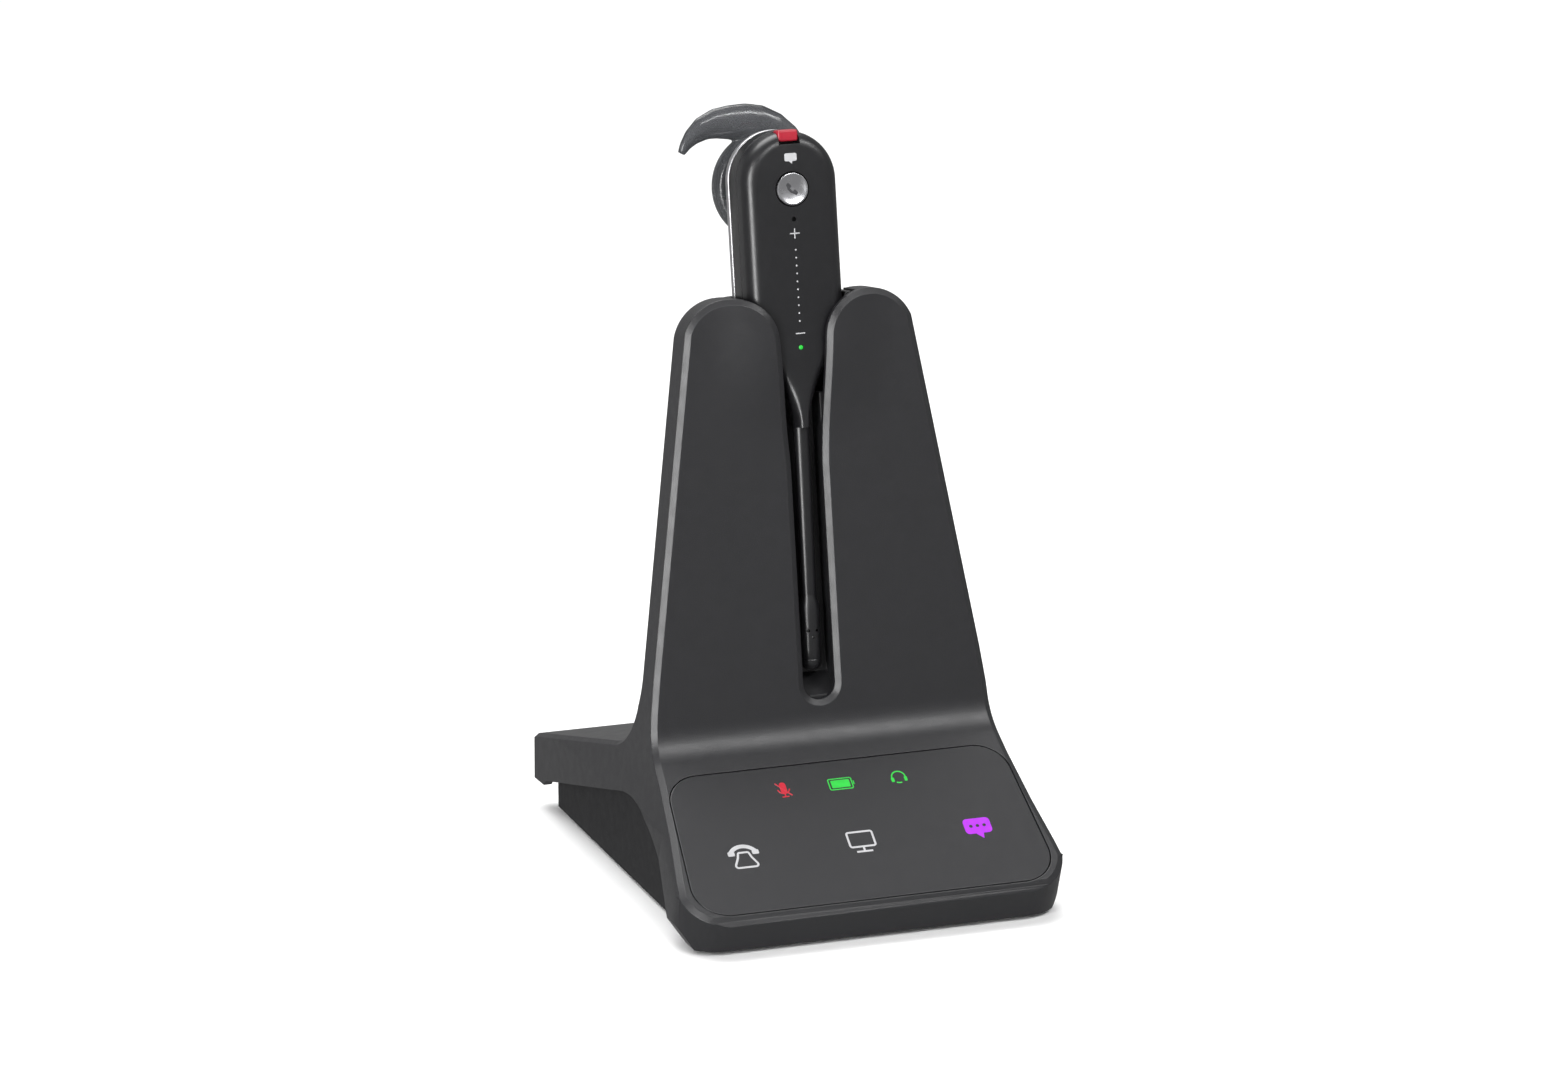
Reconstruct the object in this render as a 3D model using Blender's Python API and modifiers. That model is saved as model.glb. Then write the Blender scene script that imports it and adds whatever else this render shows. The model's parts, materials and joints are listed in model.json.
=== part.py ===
"""Office headset: a one-ear wireless headset standing in its charging stand.

The stand is a lambda-shaped shell: a leaning mast that holds the headset, a sloping touch panel
in front and a rear leg. The headset hangs in a cradle inside the mast with its boom in a slot.

Axes: X to the right, Y to the back, +Z up. The origin is the middle of the footprint.
Sizes below are millimetres and become metres where a mesh is made.
"""
from math import atan2, cos, hypot, pi, radians, sin, tan

import bmesh
import bpy
from mathutils import Matrix, Vector

MM = 0.001
GAP = 0.3                    # clearance between neighbouring pieces

# Where the mast's front line meets the panel's line, seen from the side
FOOT_LIFT = 1.0              # the shell stands this high on its feet
CORNER_Y = -20.25
CORNER_Z = 35.7
MAST_LEAN = 9.26             # degrees back from upright
PANEL_SLOPE = 35.4           # degrees down towards the front
CREASE_RADIUS = 12.0         # fillet between mast and panel

# Shell, measured from the side (y back from the corner line, z up from the shell's lower edge)
FACE = 0.84                  # the front face stands this far in front of the chamfer's outer line
CHAMFER = 1.35
WALL = 2.0
MAST_TOP = 100.6             # along the mast
MAST_DEPTH = 7.9
REAR_Y = 81.4
REAR_TOP_Z = 16.8
REAR_BOTTOM_Z = 5.4
ARM_FALL = 14.2              # degrees, the rear leg's top falling to the rear
FRONT_Y = -40.9
FRONT_LIP_Z = 6.6
FRONT_FOOT_Y = -38.2
ARCH_FALL = 14.6             # degrees, the rear leg's lower edge
ARCH_RISE = 43.0             # degrees, the front leg's lower edge
PANEL_LENGTH = 50.2
FRONT_WALL_SLANT = 22.2      # degrees from upright, undercut
FRONT_WALL_PLAN = -48.9      # where the front wall lies, across its slant

# Half widths of the shell at heights z
SIDES = [(-6.0, 39.1), (0.0, 42.7), (6.6, 46.7), (15.2, 45.0), (30.0, 41.9), (44.0, 40.6), (160.0, 22.0)]

# Slot for the boom and the lobes beside the headset
SLOT_HALF = 3.8
SLOT_BOTTOM = 7.8
LOBE_BULGE = 2.4

# Touch panel, u runs down the slope from the corner
TOUCH_TOP = 8.7
TOUCH_BOTTOM = 47.6
TOUCH_HALF_TOP = 40.2
TOUCH_HALF_BOTTOM = 43.2
TOUCH_THICK = 1.5
PANEL_SKIN = 3.6

# Headset, in mast coordinates: x, along the mast, and n out of the front face
BODY_HALF = 11.3
BODY_TOP_CENTRE = 125.7
BODY_NECK = 77.0
BODY_FRONT = 0.84
BODY_SPLIT = -5.0
BODY_BACK = -12.8
RIM_FRONT = -10.4
FRONT_EDGE = [(-0.7, 0.0), (0.15, 0.45), (0.62, 1.0), (BODY_FRONT, 1.5)]     # (n, inset) pairs
CALL_AT = 124.0
CALL_RADIUS = 3.8
LED_AT = 88.2
MIC_HOLE_AT = 117.2
BOOM_RADIUS = 1.65
CONTACT_X = 4.2
CONTACT_N = -10.9

# Cradle inside the mast
POCKET_HALF = 12.0
POCKET_FLOOR = 77.5
POCKET_BACK = -13.3
CHANNEL_HALF = 4.6
CHANNEL_BACK = -7.4
CRADLE_WALL = 1.6


# ---------------------------------------------------------------- scene and materials

def clear_scene():
    for obj in list(bpy.data.objects):
        bpy.data.objects.remove(obj, do_unlink=True)


def collection(name):
    made = bpy.data.collections.new(name)
    bpy.context.scene.collection.children.link(made)
    return made


def material(name, color, roughness, metallic=0.0, glow=0.0):
    made = bpy.data.materials.new(name)
    made.use_nodes = True
    shader = made.node_tree.nodes["Principled BSDF"]
    shader.inputs["Base Color"].default_value = (*color, 1.0)
    shader.inputs["Roughness"].default_value = roughness
    shader.inputs["Metallic"].default_value = metallic
    if glow:
        shader.inputs["Emission Color"].default_value = (*color, 1.0)
        shader.inputs["Emission Strength"].default_value = glow
    made.diffuse_color = (*color, 1.0)
    return made


def frame_empty(name, parent, location, tilt=0.0):
    empty = bpy.data.objects.new(name, None)
    PARTS.objects.link(empty)
    empty.parent = parent
    empty.location = Vector(location) * MM
    empty.rotation_euler = (radians(tilt), 0.0, 0.0)
    empty.empty_display_size = 0.01
    return empty


def place(name, data, frame, finish, turn=(0.0, 0.0, 0.0), at=(0.0, 0.0, 0.0)):
    """A part when it has a finish, else a cutter."""
    obj = bpy.data.objects.new(name, data)
    (PARTS if finish else CUTTERS).objects.link(obj)
    obj.parent = frame
    obj.location = Vector(at) * MM
    obj.rotation_euler = [radians(angle) for angle in turn]
    if finish:
        data.materials.append(finish)
    else:
        obj.hide_render = True
        obj.display_type = "WIRE"
    return obj


# ---------------------------------------------------------------- outlines

def rounded(corners, step=14.0, arc_steps=0):
    """A closed outline whose corners (x, y) or (x, y, radius) are rounded by arcs."""
    points = []
    count = len(corners)
    for index, corner in enumerate(corners):
        here = Vector(corner[:2])
        radius = corner[2] if len(corner) > 2 else 0.0
        to_last = (Vector(corners[index - 1][:2]) - here).normalized()
        to_next = (Vector(corners[(index + 1) % count][:2]) - here).normalized()
        if radius == 0.0:
            points.append(tuple(here))
            continue
        angle = to_last.angle(to_next)
        reach = radius / tan(angle / 2)
        centre = here + (to_last + to_next).normalized() * (radius / sin(angle / 2))
        start = here + to_last * reach - centre
        end = here + to_next * reach - centre
        turn = atan2(start.x * end.y - start.y * end.x, start.dot(end))
        steps = arc_steps or max(2, round(abs(turn) / radians(step)))
        for number in range(steps + 1):
            points.append(tuple(centre + Matrix.Rotation(turn * number / steps, 2) @ start))
    return points


def mirrored(right_side):
    """The corners of the +x side, bottom to top or top to bottom, and their mirror images."""
    return right_side + [(-corner[0], *corner[1:]) for corner in reversed(right_side)]


def ring(radius, x=0.0, y=0.0, count=28):
    return [(x + radius * cos(2 * pi * i / count), y + radius * sin(2 * pi * i / count))
            for i in range(count)]


def lean_point(along, out):
    """A point of the mast in the side view, along it and out of its front line."""
    lean = radians(MAST_LEAN)
    return (along * sin(lean) - out * cos(lean), CORNER_Z + along * cos(lean) + out * sin(lean))


def panel_point(down, out):
    """A point of the panel in the side view, down its slope and out of it."""
    slope = radians(PANEL_SLOPE)
    return (-down * cos(slope) - out * sin(slope), CORNER_Z - down * sin(slope) + out * cos(slope))


def meet(first, first_angle, second, second_angle):
    """Where two lines of the side view cross; the angles are degrees from +y."""
    way = Vector((cos(radians(first_angle)), sin(radians(first_angle))))
    other = Vector((cos(radians(second_angle)), sin(radians(second_angle))))
    between = Vector(second) - Vector(first)
    reach = (between.x * other.y - between.y * other.x) / (way.x * other.y - way.y * other.x)
    return tuple(Vector(first) + way * reach)


def arm_point(drop):
    """A point on the rear leg's top line, lowered by drop."""
    return (REAR_Y - 4.2, REAR_TOP_Z + 0.9 - drop)


def side_profile():
    face_crease = meet(lean_point(0, FACE), 90 - MAST_LEAN, panel_point(0, FACE), PANEL_SLOPE)
    back_crease = meet(lean_point(0, -MAST_DEPTH), 90 - MAST_LEAN, arm_point(0), -ARM_FALL)
    arch_peak = meet((41.2, 15.3), -ARCH_FALL, (-12.5, 14.9), ARCH_RISE)
    front_end = meet((-12.5, 14.9), ARCH_RISE, (0, 0), 0)
    return rounded([
        (FRONT_FOOT_Y, 0.0), (FRONT_Y, FRONT_LIP_Z), panel_point(PANEL_LENGTH - CHAMFER, FACE),
        (*face_crease, CREASE_RADIUS), lean_point(MAST_TOP - CHAMFER, FACE), lean_point(MAST_TOP, 0.0),
        lean_point(MAST_TOP, 1.0 - MAST_DEPTH), lean_point(MAST_TOP - 1.0, -MAST_DEPTH),
        (*back_crease, 19.0), arm_point(0), (REAR_Y, REAR_TOP_Z - 0.6), (REAR_Y, REAR_BOTTOM_Z),
        (74.0, REAR_BOTTOM_Z + 0.3), (72.4, 7.2), (*arch_peak, 31.0), front_end])


def cavity_profile():
    face_crease = meet(lean_point(0, FACE - WALL), 90 - MAST_LEAN,
                       panel_point(0, FACE - PANEL_SKIN), PANEL_SLOPE)
    back_crease = meet(lean_point(0, WALL - MAST_DEPTH), 90 - MAST_LEAN, arm_point(WALL), -ARM_FALL)
    return rounded([
        (FRONT_FOOT_Y + WALL, -6.0), (FRONT_FOOT_Y + WALL, 1.5), panel_point(47.0, FACE - PANEL_SKIN),
        (*face_crease, 14.0), lean_point(MAST_TOP - 2.4, FACE - WALL),
        lean_point(MAST_TOP - 2.4, WALL - MAST_DEPTH), (*back_crease, 21.0), arm_point(WALL),
        (REAR_Y - WALL, REAR_TOP_Z - 2.2), (REAR_Y - WALL, -6.0)])


def front_outline(inset):
    return mirrored([(half - inset, z) for z, half in SIDES])


def panel_outline(inset):
    """Plan of the shell across its front wall's slant, with the rounded front corners."""
    low = FRONT_WALL_PLAN + inset
    side = 43.6 - inset
    return rounded(mirrored([(47.2 - inset, low, 10.6 - inset), (side, -20.0), (side, 200.0)]))


def touch_outline(grow):
    return rounded(mirrored([(TOUCH_HALF_BOTTOM + grow, -TOUCH_BOTTOM - grow, 7.8 + grow),
                             (TOUCH_HALF_TOP + grow, -TOUCH_TOP + grow, 7.8 + grow)]))


def body_outline(inset, foot=BODY_NECK, flat=2.3):
    """Pill with a pinched lower end, in x and along the mast."""
    half = BODY_HALF - inset
    top = [(half * cos(angle), BODY_TOP_CENTRE + half * sin(angle))
           for angle in [pi * i / 20 for i in range(21)]]
    lower = rounded([(half, 108.0), (half, 91.0, 12.0), (flat + 2.2, foot + 4.5, 8.0), (flat, foot)],
                    arc_steps=4)
    right = lower[1:]
    left = [(-x, y) for x, y in right]
    return right[::-1] + top + left


def pill(half, low, high):
    """A strip with a round top and slightly rounded lower corners."""
    return rounded(mirrored([(half, low, 1.5), (half, high, half - 0.2)]))


# ---------------------------------------------------------------- solids

def mesh_of_curve(curve):
    """The filled and capped mesh of a curve."""
    carrier = bpy.data.objects.new("carrier", curve)
    bpy.context.scene.collection.objects.link(carrier)
    bpy.context.view_layer.update()
    mesh = bpy.data.meshes.new_from_object(carrier.evaluated_get(bpy.context.evaluated_depsgraph_get()))
    bpy.data.objects.remove(carrier, do_unlink=True)
    bpy.data.curves.remove(curve)
    welded = bmesh.new()
    welded.from_mesh(mesh)
    bmesh.ops.remove_doubles(welded, verts=welded.verts, dist=0.002 * MM)
    bmesh.ops.recalc_face_normals(welded, faces=welded.faces)
    welded.to_mesh(mesh)
    welded.free()
    mesh.materials.clear()
    return mesh


def plate(name, frame, finish, outline, low, high, turn=(0.0, 0.0, 0.0), holes=()):
    """An outline in the frame's XY plane, solid from low to high along its Z."""
    curve = bpy.data.curves.new(name, "CURVE")
    curve.dimensions = "2D"
    curve.fill_mode = "BOTH"
    curve.extrude = (high - low) / 2 * MM
    for loop in (outline, *holes):
        spline = curve.splines.new("POLY")
        spline.points.add(len(loop) - 1)
        spline.use_cyclic_u = True
        for point, (x, y) in zip(spline.points, loop):
            point.co = (x * MM, y * MM, 0.0, 1.0)
    mesh = mesh_of_curve(curve)
    mesh.transform(Matrix.Translation((0.0, 0.0, (low + high) / 2 * MM)))
    return place(name, mesh, frame, finish, turn)


def block(name, frame, finish, low, high, bevel=0.0):
    """A box between two corners, its edges rounded by bevel."""
    low, high = Vector(low), Vector(high)
    box = bmesh.new()
    bmesh.ops.create_cube(box, size=1.0)
    bmesh.ops.scale(box, verts=box.verts, vec=(high - low) * MM)
    bmesh.ops.translate(box, verts=box.verts, vec=(high + low) / 2 * MM)
    if bevel:
        bmesh.ops.bevel(box, geom=box.edges[:], offset=bevel * MM, segments=2, profile=0.5,
                        affect="EDGES", clamp_overlap=True)
    mesh = bpy.data.meshes.new(name)
    box.to_mesh(mesh)
    box.free()
    return place(name, mesh, frame, finish)


def turned(name, frame, finish, profile, at=(0.0, 0.0, 0.0), turn=(0.0, 0.0, 0.0), steps=24,
           closed=False):
    """A profile (radius, height), run down its outer side, turned about Z."""
    mesh = bpy.data.meshes.new(name)
    edges = [(i, i + 1) for i in range(len(profile) - 1)]
    if closed:
        edges.append((len(profile) - 1, 0))
    mesh.from_pydata([(radius * MM, 0.0, height * MM) for radius, height in profile], edges, [])
    obj = place(name, mesh, frame, finish, turn, at)
    screw = obj.modifiers.new("turn", "SCREW")
    screw.steps = steps
    screw.render_steps = steps
    screw.use_merge_vertices = True
    screw.merge_threshold = 0.00001
    screw.use_smooth_shade = True
    return obj


def cylinder(name, frame, finish, radius, low, high, at=(0.0, 0.0, 0.0), turn=(0.0, 0.0, 0.0),
             steps=24):
    profile = [(0.0, high), (radius, high), (radius, low), (0.0, low)]
    return turned(name, frame, finish, profile, at, turn, steps)


def loft(name, frame, finish, sections):
    """Bridges outlines of equal length; each section is (height, outline), from low to high."""
    solid = bmesh.new()
    loops = []
    for height, outline in sections:
        loops.append([solid.verts.new((x * MM, y * MM, height * MM)) for x, y in outline])
    for lower, upper in zip(loops, loops[1:]):
        for i, vert in enumerate(lower):
            after = (i + 1) % len(lower)
            solid.faces.new((vert, lower[after], upper[after], upper[i]))
    solid.faces.new(reversed(loops[0]))
    solid.faces.new(loops[-1])
    bmesh.ops.recalc_face_normals(solid, faces=solid.faces)
    mesh = bpy.data.meshes.new(name)
    solid.to_mesh(mesh)
    solid.free()
    return place(name, mesh, frame, finish)


def boolean(obj, other, operation="DIFFERENCE"):
    modifier = obj.modifiers.new(operation.lower(), "BOOLEAN")
    modifier.operation = operation
    modifier.object = other
    modifier.solver = "EXACT"
    return obj


def tube(name, frame, finish, points, radius, sides=4):
    """A wire through points with round caps filled."""
    curve = bpy.data.curves.new(name, "CURVE")
    curve.dimensions = "3D"
    curve.bevel_depth = radius * MM
    curve.bevel_resolution = sides
    curve.use_fill_caps = True
    spline = curve.splines.new("POLY")
    spline.points.add(len(points) - 1)
    for point, place_mm in zip(spline.points, points):
        point.co = (*(Vector(place_mm) * MM), 1.0)
    return place(name, mesh_of_curve(curve), frame, finish)


# ---------------------------------------------------------------- stand

SIDE_TURN = (90.0, 0.0, 90.0)     # outline x, y become Y, Z and the thickness runs along X
FRONT_TURN = (90.0, 0.0, 0.0)     # outline x, y become X, Z and the thickness runs along -Y
FRONT_BOSSES = [(-32.7, -3.6), (32.7, -3.6)]
REAR_BOSSES = [(-32.4, 63.8), (32.4, 63.8)]
BOSSES = FRONT_BOSSES + REAR_BOSSES
FRONT_FEET = [(-28.8, -24.0), (28.8, -24.0)]
PORTS = [("usb_port_computer", -11.0), ("usb_port_phone", 11.0)]
PORT_Z = 11.2


def lobe_pad():
    """The forward swelling of the right lobe beside the slot, as a displaced grid."""
    x_low, x_high, a_low, a_high = 2.0, 24.0, 70.0, 103.0
    pad = bmesh.new()
    bmesh.ops.create_grid(pad, x_segments=9, y_segments=12, size=0.5)
    for vert in pad.verts:
        x = x_low + (vert.co.x + 0.5) * (x_high - x_low)
        along = a_low + (vert.co.y + 0.5) * (a_high - a_low)
        near_slot = min(1.0, max(0.0, (22.0 - x) / 14.0))
        high_up = min(1.0, max(0.0, (along - 74.0) / 14.0))
        swell = LOBE_BULGE * (near_slot * high_up) ** 2 * (3 - 2 * near_slot) * (3 - 2 * high_up)
        vert.co = Vector((x, along, FACE - 0.05 + swell)) * MM
    bottom = bmesh.ops.extrude_face_region(pad, geom=pad.faces[:])
    for vert in bottom["geom"]:
        if isinstance(vert, bmesh.types.BMVert):
            vert.co.z = -0.9 * MM
    bmesh.ops.recalc_face_normals(pad, faces=pad.faces)
    mesh = bpy.data.meshes.new("lobe_pads")
    pad.to_mesh(mesh)
    pad.free()
    obj = place("lobe_pads", mesh, MAST, None)
    both = obj.modifiers.new("both_sides", "MIRROR")
    both.merge_threshold = 0.00001
    return obj


def slot_outline():
    return rounded(mirrored([(SLOT_HALF, SLOT_BOTTOM, SLOT_HALF - 0.2), (SLOT_HALF, 68.0), (5.2, 86.0),
                             (5.8, 100.3, 10.5), (17.0, 100.3), (17.0, 112.0)]))


def above_lobes_outline(lower):
    """What is cut away above the lobes' tops and round their outer corners."""
    return rounded(mirrored([(26.3 - lower, 100.3 - lower, 11.0 - lower), (31.1 - lower, 70.0),
                             (40.0, 70.0), (40.0, 130.0)]))


def body_sweep():
    """The room that the headset's body needs as it is lifted out."""
    grow = 0.4
    sections = [(-14.0, -grow)] + [(out + grow, inset - grow) for out, inset in FRONT_EDGE]
    raised = []
    for out, inset in sections:
        raised.append((out, [(x, y if y < 100.0 else y + 40.0) for x, y in body_outline(inset)]))
    return loft("body_sweep", MAST, None, raised)


def discs(name, finish, centres, radius, low, high):
    """Upright round bars at several places, as one cutter."""
    rings = [ring(radius, x, y, 20) for x, y in centres]
    return plate(name, STAND, finish, rings[0], low, high, holes=rings[1:])


def make_shell():
    shell = plate("stand_shell", STAND, SHELL_PLASTIC, side_profile(), -50.0, 50.0, SIDE_TURN)
    boolean(shell, plate("shell_sides", STAND, None, front_outline(0.0), -100.0, 100.0, FRONT_TURN),
            "INTERSECT")
    boolean(shell, plate("shell_front_corners", FRONT_WALL, None, panel_outline(0.0), -150.0, 150.0),
            "INTERSECT")
    boolean(shell, lobe_pad(), "UNION")
    boolean(shell, plate("above_lobes", MAST, None, above_lobes_outline(0.0), -30.0, 20.0))
    boolean(shell, plate("slot", MAST, None, slot_outline(), -4.0, 12.0))
    cavity = plate("shell_cavity", STAND, None, cavity_profile(), -50.5, 50.5, SIDE_TURN)
    boolean(cavity, plate("cavity_sides", STAND, None, front_outline(WALL), -101.0, 101.0, FRONT_TURN),
            "INTERSECT")
    boolean(cavity, plate("cavity_front_corners", FRONT_WALL, None, panel_outline(WALL), -151.0, 151.0),
            "INTERSECT")
    boolean(cavity, plate("below_lobes", MAST, None, above_lobes_outline(WALL), -31.0, 21.0))
    boolean(shell, cavity)
    boolean(shell, body_sweep())
    wall = CRADLE_WALL + GAP
    boolean(shell, block("cradle_room", MAST, None, (-POCKET_HALF - wall, 67.0, -30.0),
                         (POCKET_HALF + wall, 130.0, -1.3)))
    boolean(shell, block("channel_room", MAST, None, (-CHANNEL_HALF - wall, 5.4, -8.9),
                         (CHANNEL_HALF + wall, 90.0, -1.25)))
    boolean(shell, plate("back_opening", MAST, None, back_cover_outline(GAP), -40.0, -5.6))
    boolean(shell, plate("touch_recess", PANEL, None, touch_outline(GAP),
                         FACE - TOUCH_THICK - GAP, 10.0))
    boolean(shell, block("light_window", PANEL, None, (-34.0, -44.0, -6.0), (34.0, -12.0, 3.0)))
    boolean(shell, discs("front_bosses", None, FRONT_BOSSES, 2.7, 2.9, 29.9), "UNION")
    boolean(shell, discs("rear_bosses", None, REAR_BOSSES, 2.7, 2.9, 19.9), "UNION")
    boolean(shell, discs("boss_pilots", None, BOSSES, 1.45, 2.0, 11.0))
    port_holes = [[(x + 4.9 * i, PORT_Z + 2.05 * j) for i, j in ((-1, -1), (1, -1), (1, 1), (-1, 1))]
                  for _, x in PORTS]
    boolean(shell, plate("port_holes", STAND, None, port_holes[0], -90.0, -70.0, FRONT_TURN,
                         port_holes[1:]))
    return shell


def back_cover_outline(grow):
    """Trapezoid on the mast's back that reaches down as a narrow spine."""
    spine = CHANNEL_HALF + CRADLE_WALL + 2.2 + grow
    return mirrored([(spine, 8.3 - grow), (spine, 19.0 - grow), (34.8 + grow, 21.0 - grow),
                     (23.6 + grow, 92.6 + grow)])


def make_cradle():
    outer = CHANNEL_HALF + CRADLE_WALL
    cradle = block("headset_cradle", MAST, LINER_PLASTIC, (-outer, 6.4, CHANNEL_BACK - 1.2),
                   (outer, 72.0, -1.6))
    wide = POCKET_HALF + CRADLE_WALL
    boolean(cradle, block("pocket_block", MAST, None, (-wide, 68.0, POCKET_BACK - 1.8),
                          (wide, 99.8, -1.6)), "UNION")
    boolean(cradle, block("pocket_space", MAST, None, (-POCKET_HALF, POCKET_FLOOR, POCKET_BACK),
                          (POCKET_HALF, 120.0, 5.0)))
    slope = plate("channel_space", STAND_MAST_SIDE, None,
                  [(8.0, 4.0), (8.0, -1.0), (13.3, CHANNEL_BACK), (110.0, CHANNEL_BACK), (110.0, 4.0)],
                  -CHANNEL_HALF, CHANNEL_HALF)
    boolean(cradle, slope)
    toe = plate("channel_toe", STAND_MAST_SIDE, None,
                [(2.0, -2.6), (7.4, -2.6), (13.4, CHANNEL_BACK - 2.0), (2.0, CHANNEL_BACK - 2.0)],
                -9.0, 9.0)
    boolean(cradle, toe)
    boolean(cradle, block("contact_space", MAST, None, (-8.5, 60.0, -13.6), (8.5, 75.3, -9.1)))
    for side, x in (("left", -CONTACT_X), ("right", CONTACT_X)):
        boolean(cradle, cylinder(f"pin_hole_{side}", MAST, None, 1.0, 70.0, 80.0,
                                 (x, 0.0, CONTACT_N), (-90.0, 0.0, 0.0), 16))
    return cradle


def make_back_cover():
    cover = plate("back_cover", MAST, SHELL_PLASTIC, back_cover_outline(0.0), -7.8, -6.0)
    spine = CHANNEL_HALF + CRADLE_WALL + 2.2
    boolean(cover, block("spine", MAST, None, (-spine + 0.3, 8.6, -10.6), (spine - 0.3, 74.0, -6.3)),
            "UNION")
    room = CHANNEL_HALF + CRADLE_WALL + GAP
    boolean(cover, block("spine_groove", MAST, None, (-room, 9.9, CHANNEL_BACK - 1.5), (room, 90.0, 3.0)))
    wide = POCKET_HALF + CRADLE_WALL + GAP
    boolean(cover, block("pocket_room", MAST, None, (-wide, 67.7, -30.0), (wide, 120.0, 3.0)))
    return cover


def make_touch_panel():
    plate("touch_panel", PANEL, PANEL_PLASTIC, touch_outline(0.0), FACE - TOUCH_THICK, FACE)
    guide = block("icon_light_guide", PANEL, DIFFUSER, (-33.6, -43.6, -2.7), (33.6, -12.4, -1.2), 0.3)
    boolean(guide, block("guide_pocket", PANEL, None, (-30.0, -40.0, -4.0), (30.0, -16.0, -2.1)))
    block("touch_board", PANEL, CIRCUIT_BOARD, (-29.5, -45.0, -4.4), (29.5, -11.0, -3.2))
    return guide


def cover_plan(inset):
    return rounded(mirrored([(40.0 - inset, -35.4 + inset, 12.0), (40.0 - inset, 77.5 - inset, 4.0)]))


def make_bottom_cover():
    arch_peak = meet((41.2, 18.6), -ARCH_FALL, (-12.5, 18.4), ARCH_RISE)
    cover = plate("bottom_cover", STAND, COVER_PLASTIC, cover_plan(0.0), 0.0, 40.0)
    side = rounded([(-60.0, -5.0), (100.0, -5.0), (100.0, 9.5), (73.0, 9.5), (*arch_peak, 30.0),
                    (-27.0, 4.6), (-60.0, 4.6)])
    boolean(cover, plate("cover_side", STAND, None, side, -60.0, 60.0, SIDE_TURN), "INTERSECT")
    boolean(cover, plate("cover_cavity", STAND, None, cover_plan(1.7), 2.3, 60.0))
    boolean(cover, discs("screw_ways", None, BOSSES, 1.7, -1.0, 4.0))
    boolean(cover, discs("screw_sinks", None, BOSSES, 2.9, -1.2, 1.4))
    boolean(cover, discs("foot_sinks", None, FRONT_FEET, 5.3, -1.4, 1.1))
    for index, (x, y) in enumerate(BOSSES):
        cylinder_screw(f"base_screw_{index + 1}", x, y)
    for side_name, (x, y) in zip(("left", "right"), FRONT_FEET):
        turned(f"front_foot_{side_name}", STAND, RUBBER,
               [(0.0, 0.8), (5.0, 0.8), (5.0, -0.6), (4.6, -FOOT_LIFT), (0.0, -FOOT_LIFT)],
               (x, y, 0.0))
    strip = rounded(mirrored([(37.6, 70.6, 2.0), (37.6, 76.0, 2.0)]))
    boolean(cover, plate("rear_foot_sink", STAND, None,
                         rounded(mirrored([(37.9, 70.3, 2.2), (37.9, 76.3, 2.2)])), -2.0, 1.1))
    plate("rear_foot", STAND, RUBBER, strip, -FOOT_LIFT, 0.8)
    return cover


def cylinder_screw(name, x, y):
    """Pan-head screw, driven upwards from below."""
    screw = turned(name, STAND, SCREW_STEEL,
                   [(0.0, 9.8), (0.7, 9.8), (1.15, 9.0), (1.15, 1.1), (2.5, 1.1), (2.5, 0.3),
                    (2.1, 0.1), (0.0, 0.1)], (x, y, 0.0), steps=20)
    for number, size in enumerate(((1.5, 0.28), (0.28, 1.5))):
        boolean(screw, block(f"{name}_recess_{number}", STAND, None, (x - size[0], y - size[1], -1.0),
                             (x + size[0], y + size[1], 0.75)))
    return screw


def make_electronics():
    block("ballast_plate", STAND, PLATED_STEEL, (-27.5, -18.0, 2.6), (27.5, 62.0, 5.2), 0.4)
    block("main_board", STAND, CIRCUIT_BOARD, (-27.5, 16.0, 7.6), (27.5, 73.0, 8.8))
    block("radio_module", STAND, TIN, (-22.0, 24.0, 9.1), (-4.0, 42.0, 11.3), 0.3)
    block("audio_chip", STAND, CHIP_EPOXY, (6.0, 28.0, 9.1), (14.0, 36.0, 10.2), 0.15)
    for name, x in PORTS:
        shell = block(name, STAND, TIN, (x - 4.5, 72.0, PORT_Z - 1.65), (x + 4.5, 81.0, PORT_Z + 1.65), 0.7)
        boolean(shell, block(f"{name}_mouth", STAND, None, (x - 4.1, 74.0, PORT_Z - 1.25),
                             (x + 4.1, 84.0, PORT_Z + 1.25), 0.5))
        boolean(shell, block(f"{name}_tongue", STAND, None, (x - 3.3, 73.0, PORT_Z - 0.35),
                             (x + 3.3, 80.2, PORT_Z + 0.35)), "UNION")
    block("antenna_board", MAST, CIRCUIT_BOARD, (16.4, 38.0, -4.2), (22.4, 78.0, -3.2))
    block("charging_board", MAST, CIRCUIT_BOARD, (-8.0, 69.4, -13.2), (8.0, 70.4, -9.5))
    pin_block = block("contact_block", MAST, CHIP_EPOXY, (-7.0, 70.9, -13.1), (7.0, 74.8, -9.5), 0.2)
    for side, x in (("left", -CONTACT_X), ("right", CONTACT_X)):
        boolean(pin_block, cylinder(f"pin_bore_{side}", MAST, None, 0.95, 60.0, 80.0,
                                    (x, 0.0, CONTACT_N), (-90.0, 0.0, 0.0), 16))
        turned(f"contact_pin_{side}", MAST, GOLD,
               [(0.0, 79.4), (0.35, 79.3), (0.62, 78.9), (0.62, 72.0), (0.0, 72.0)],
               (x, 0.0, CONTACT_N), (-90.0, 0.0, 0.0), 16)


# ---------------------------------------------------------------- headset

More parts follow.
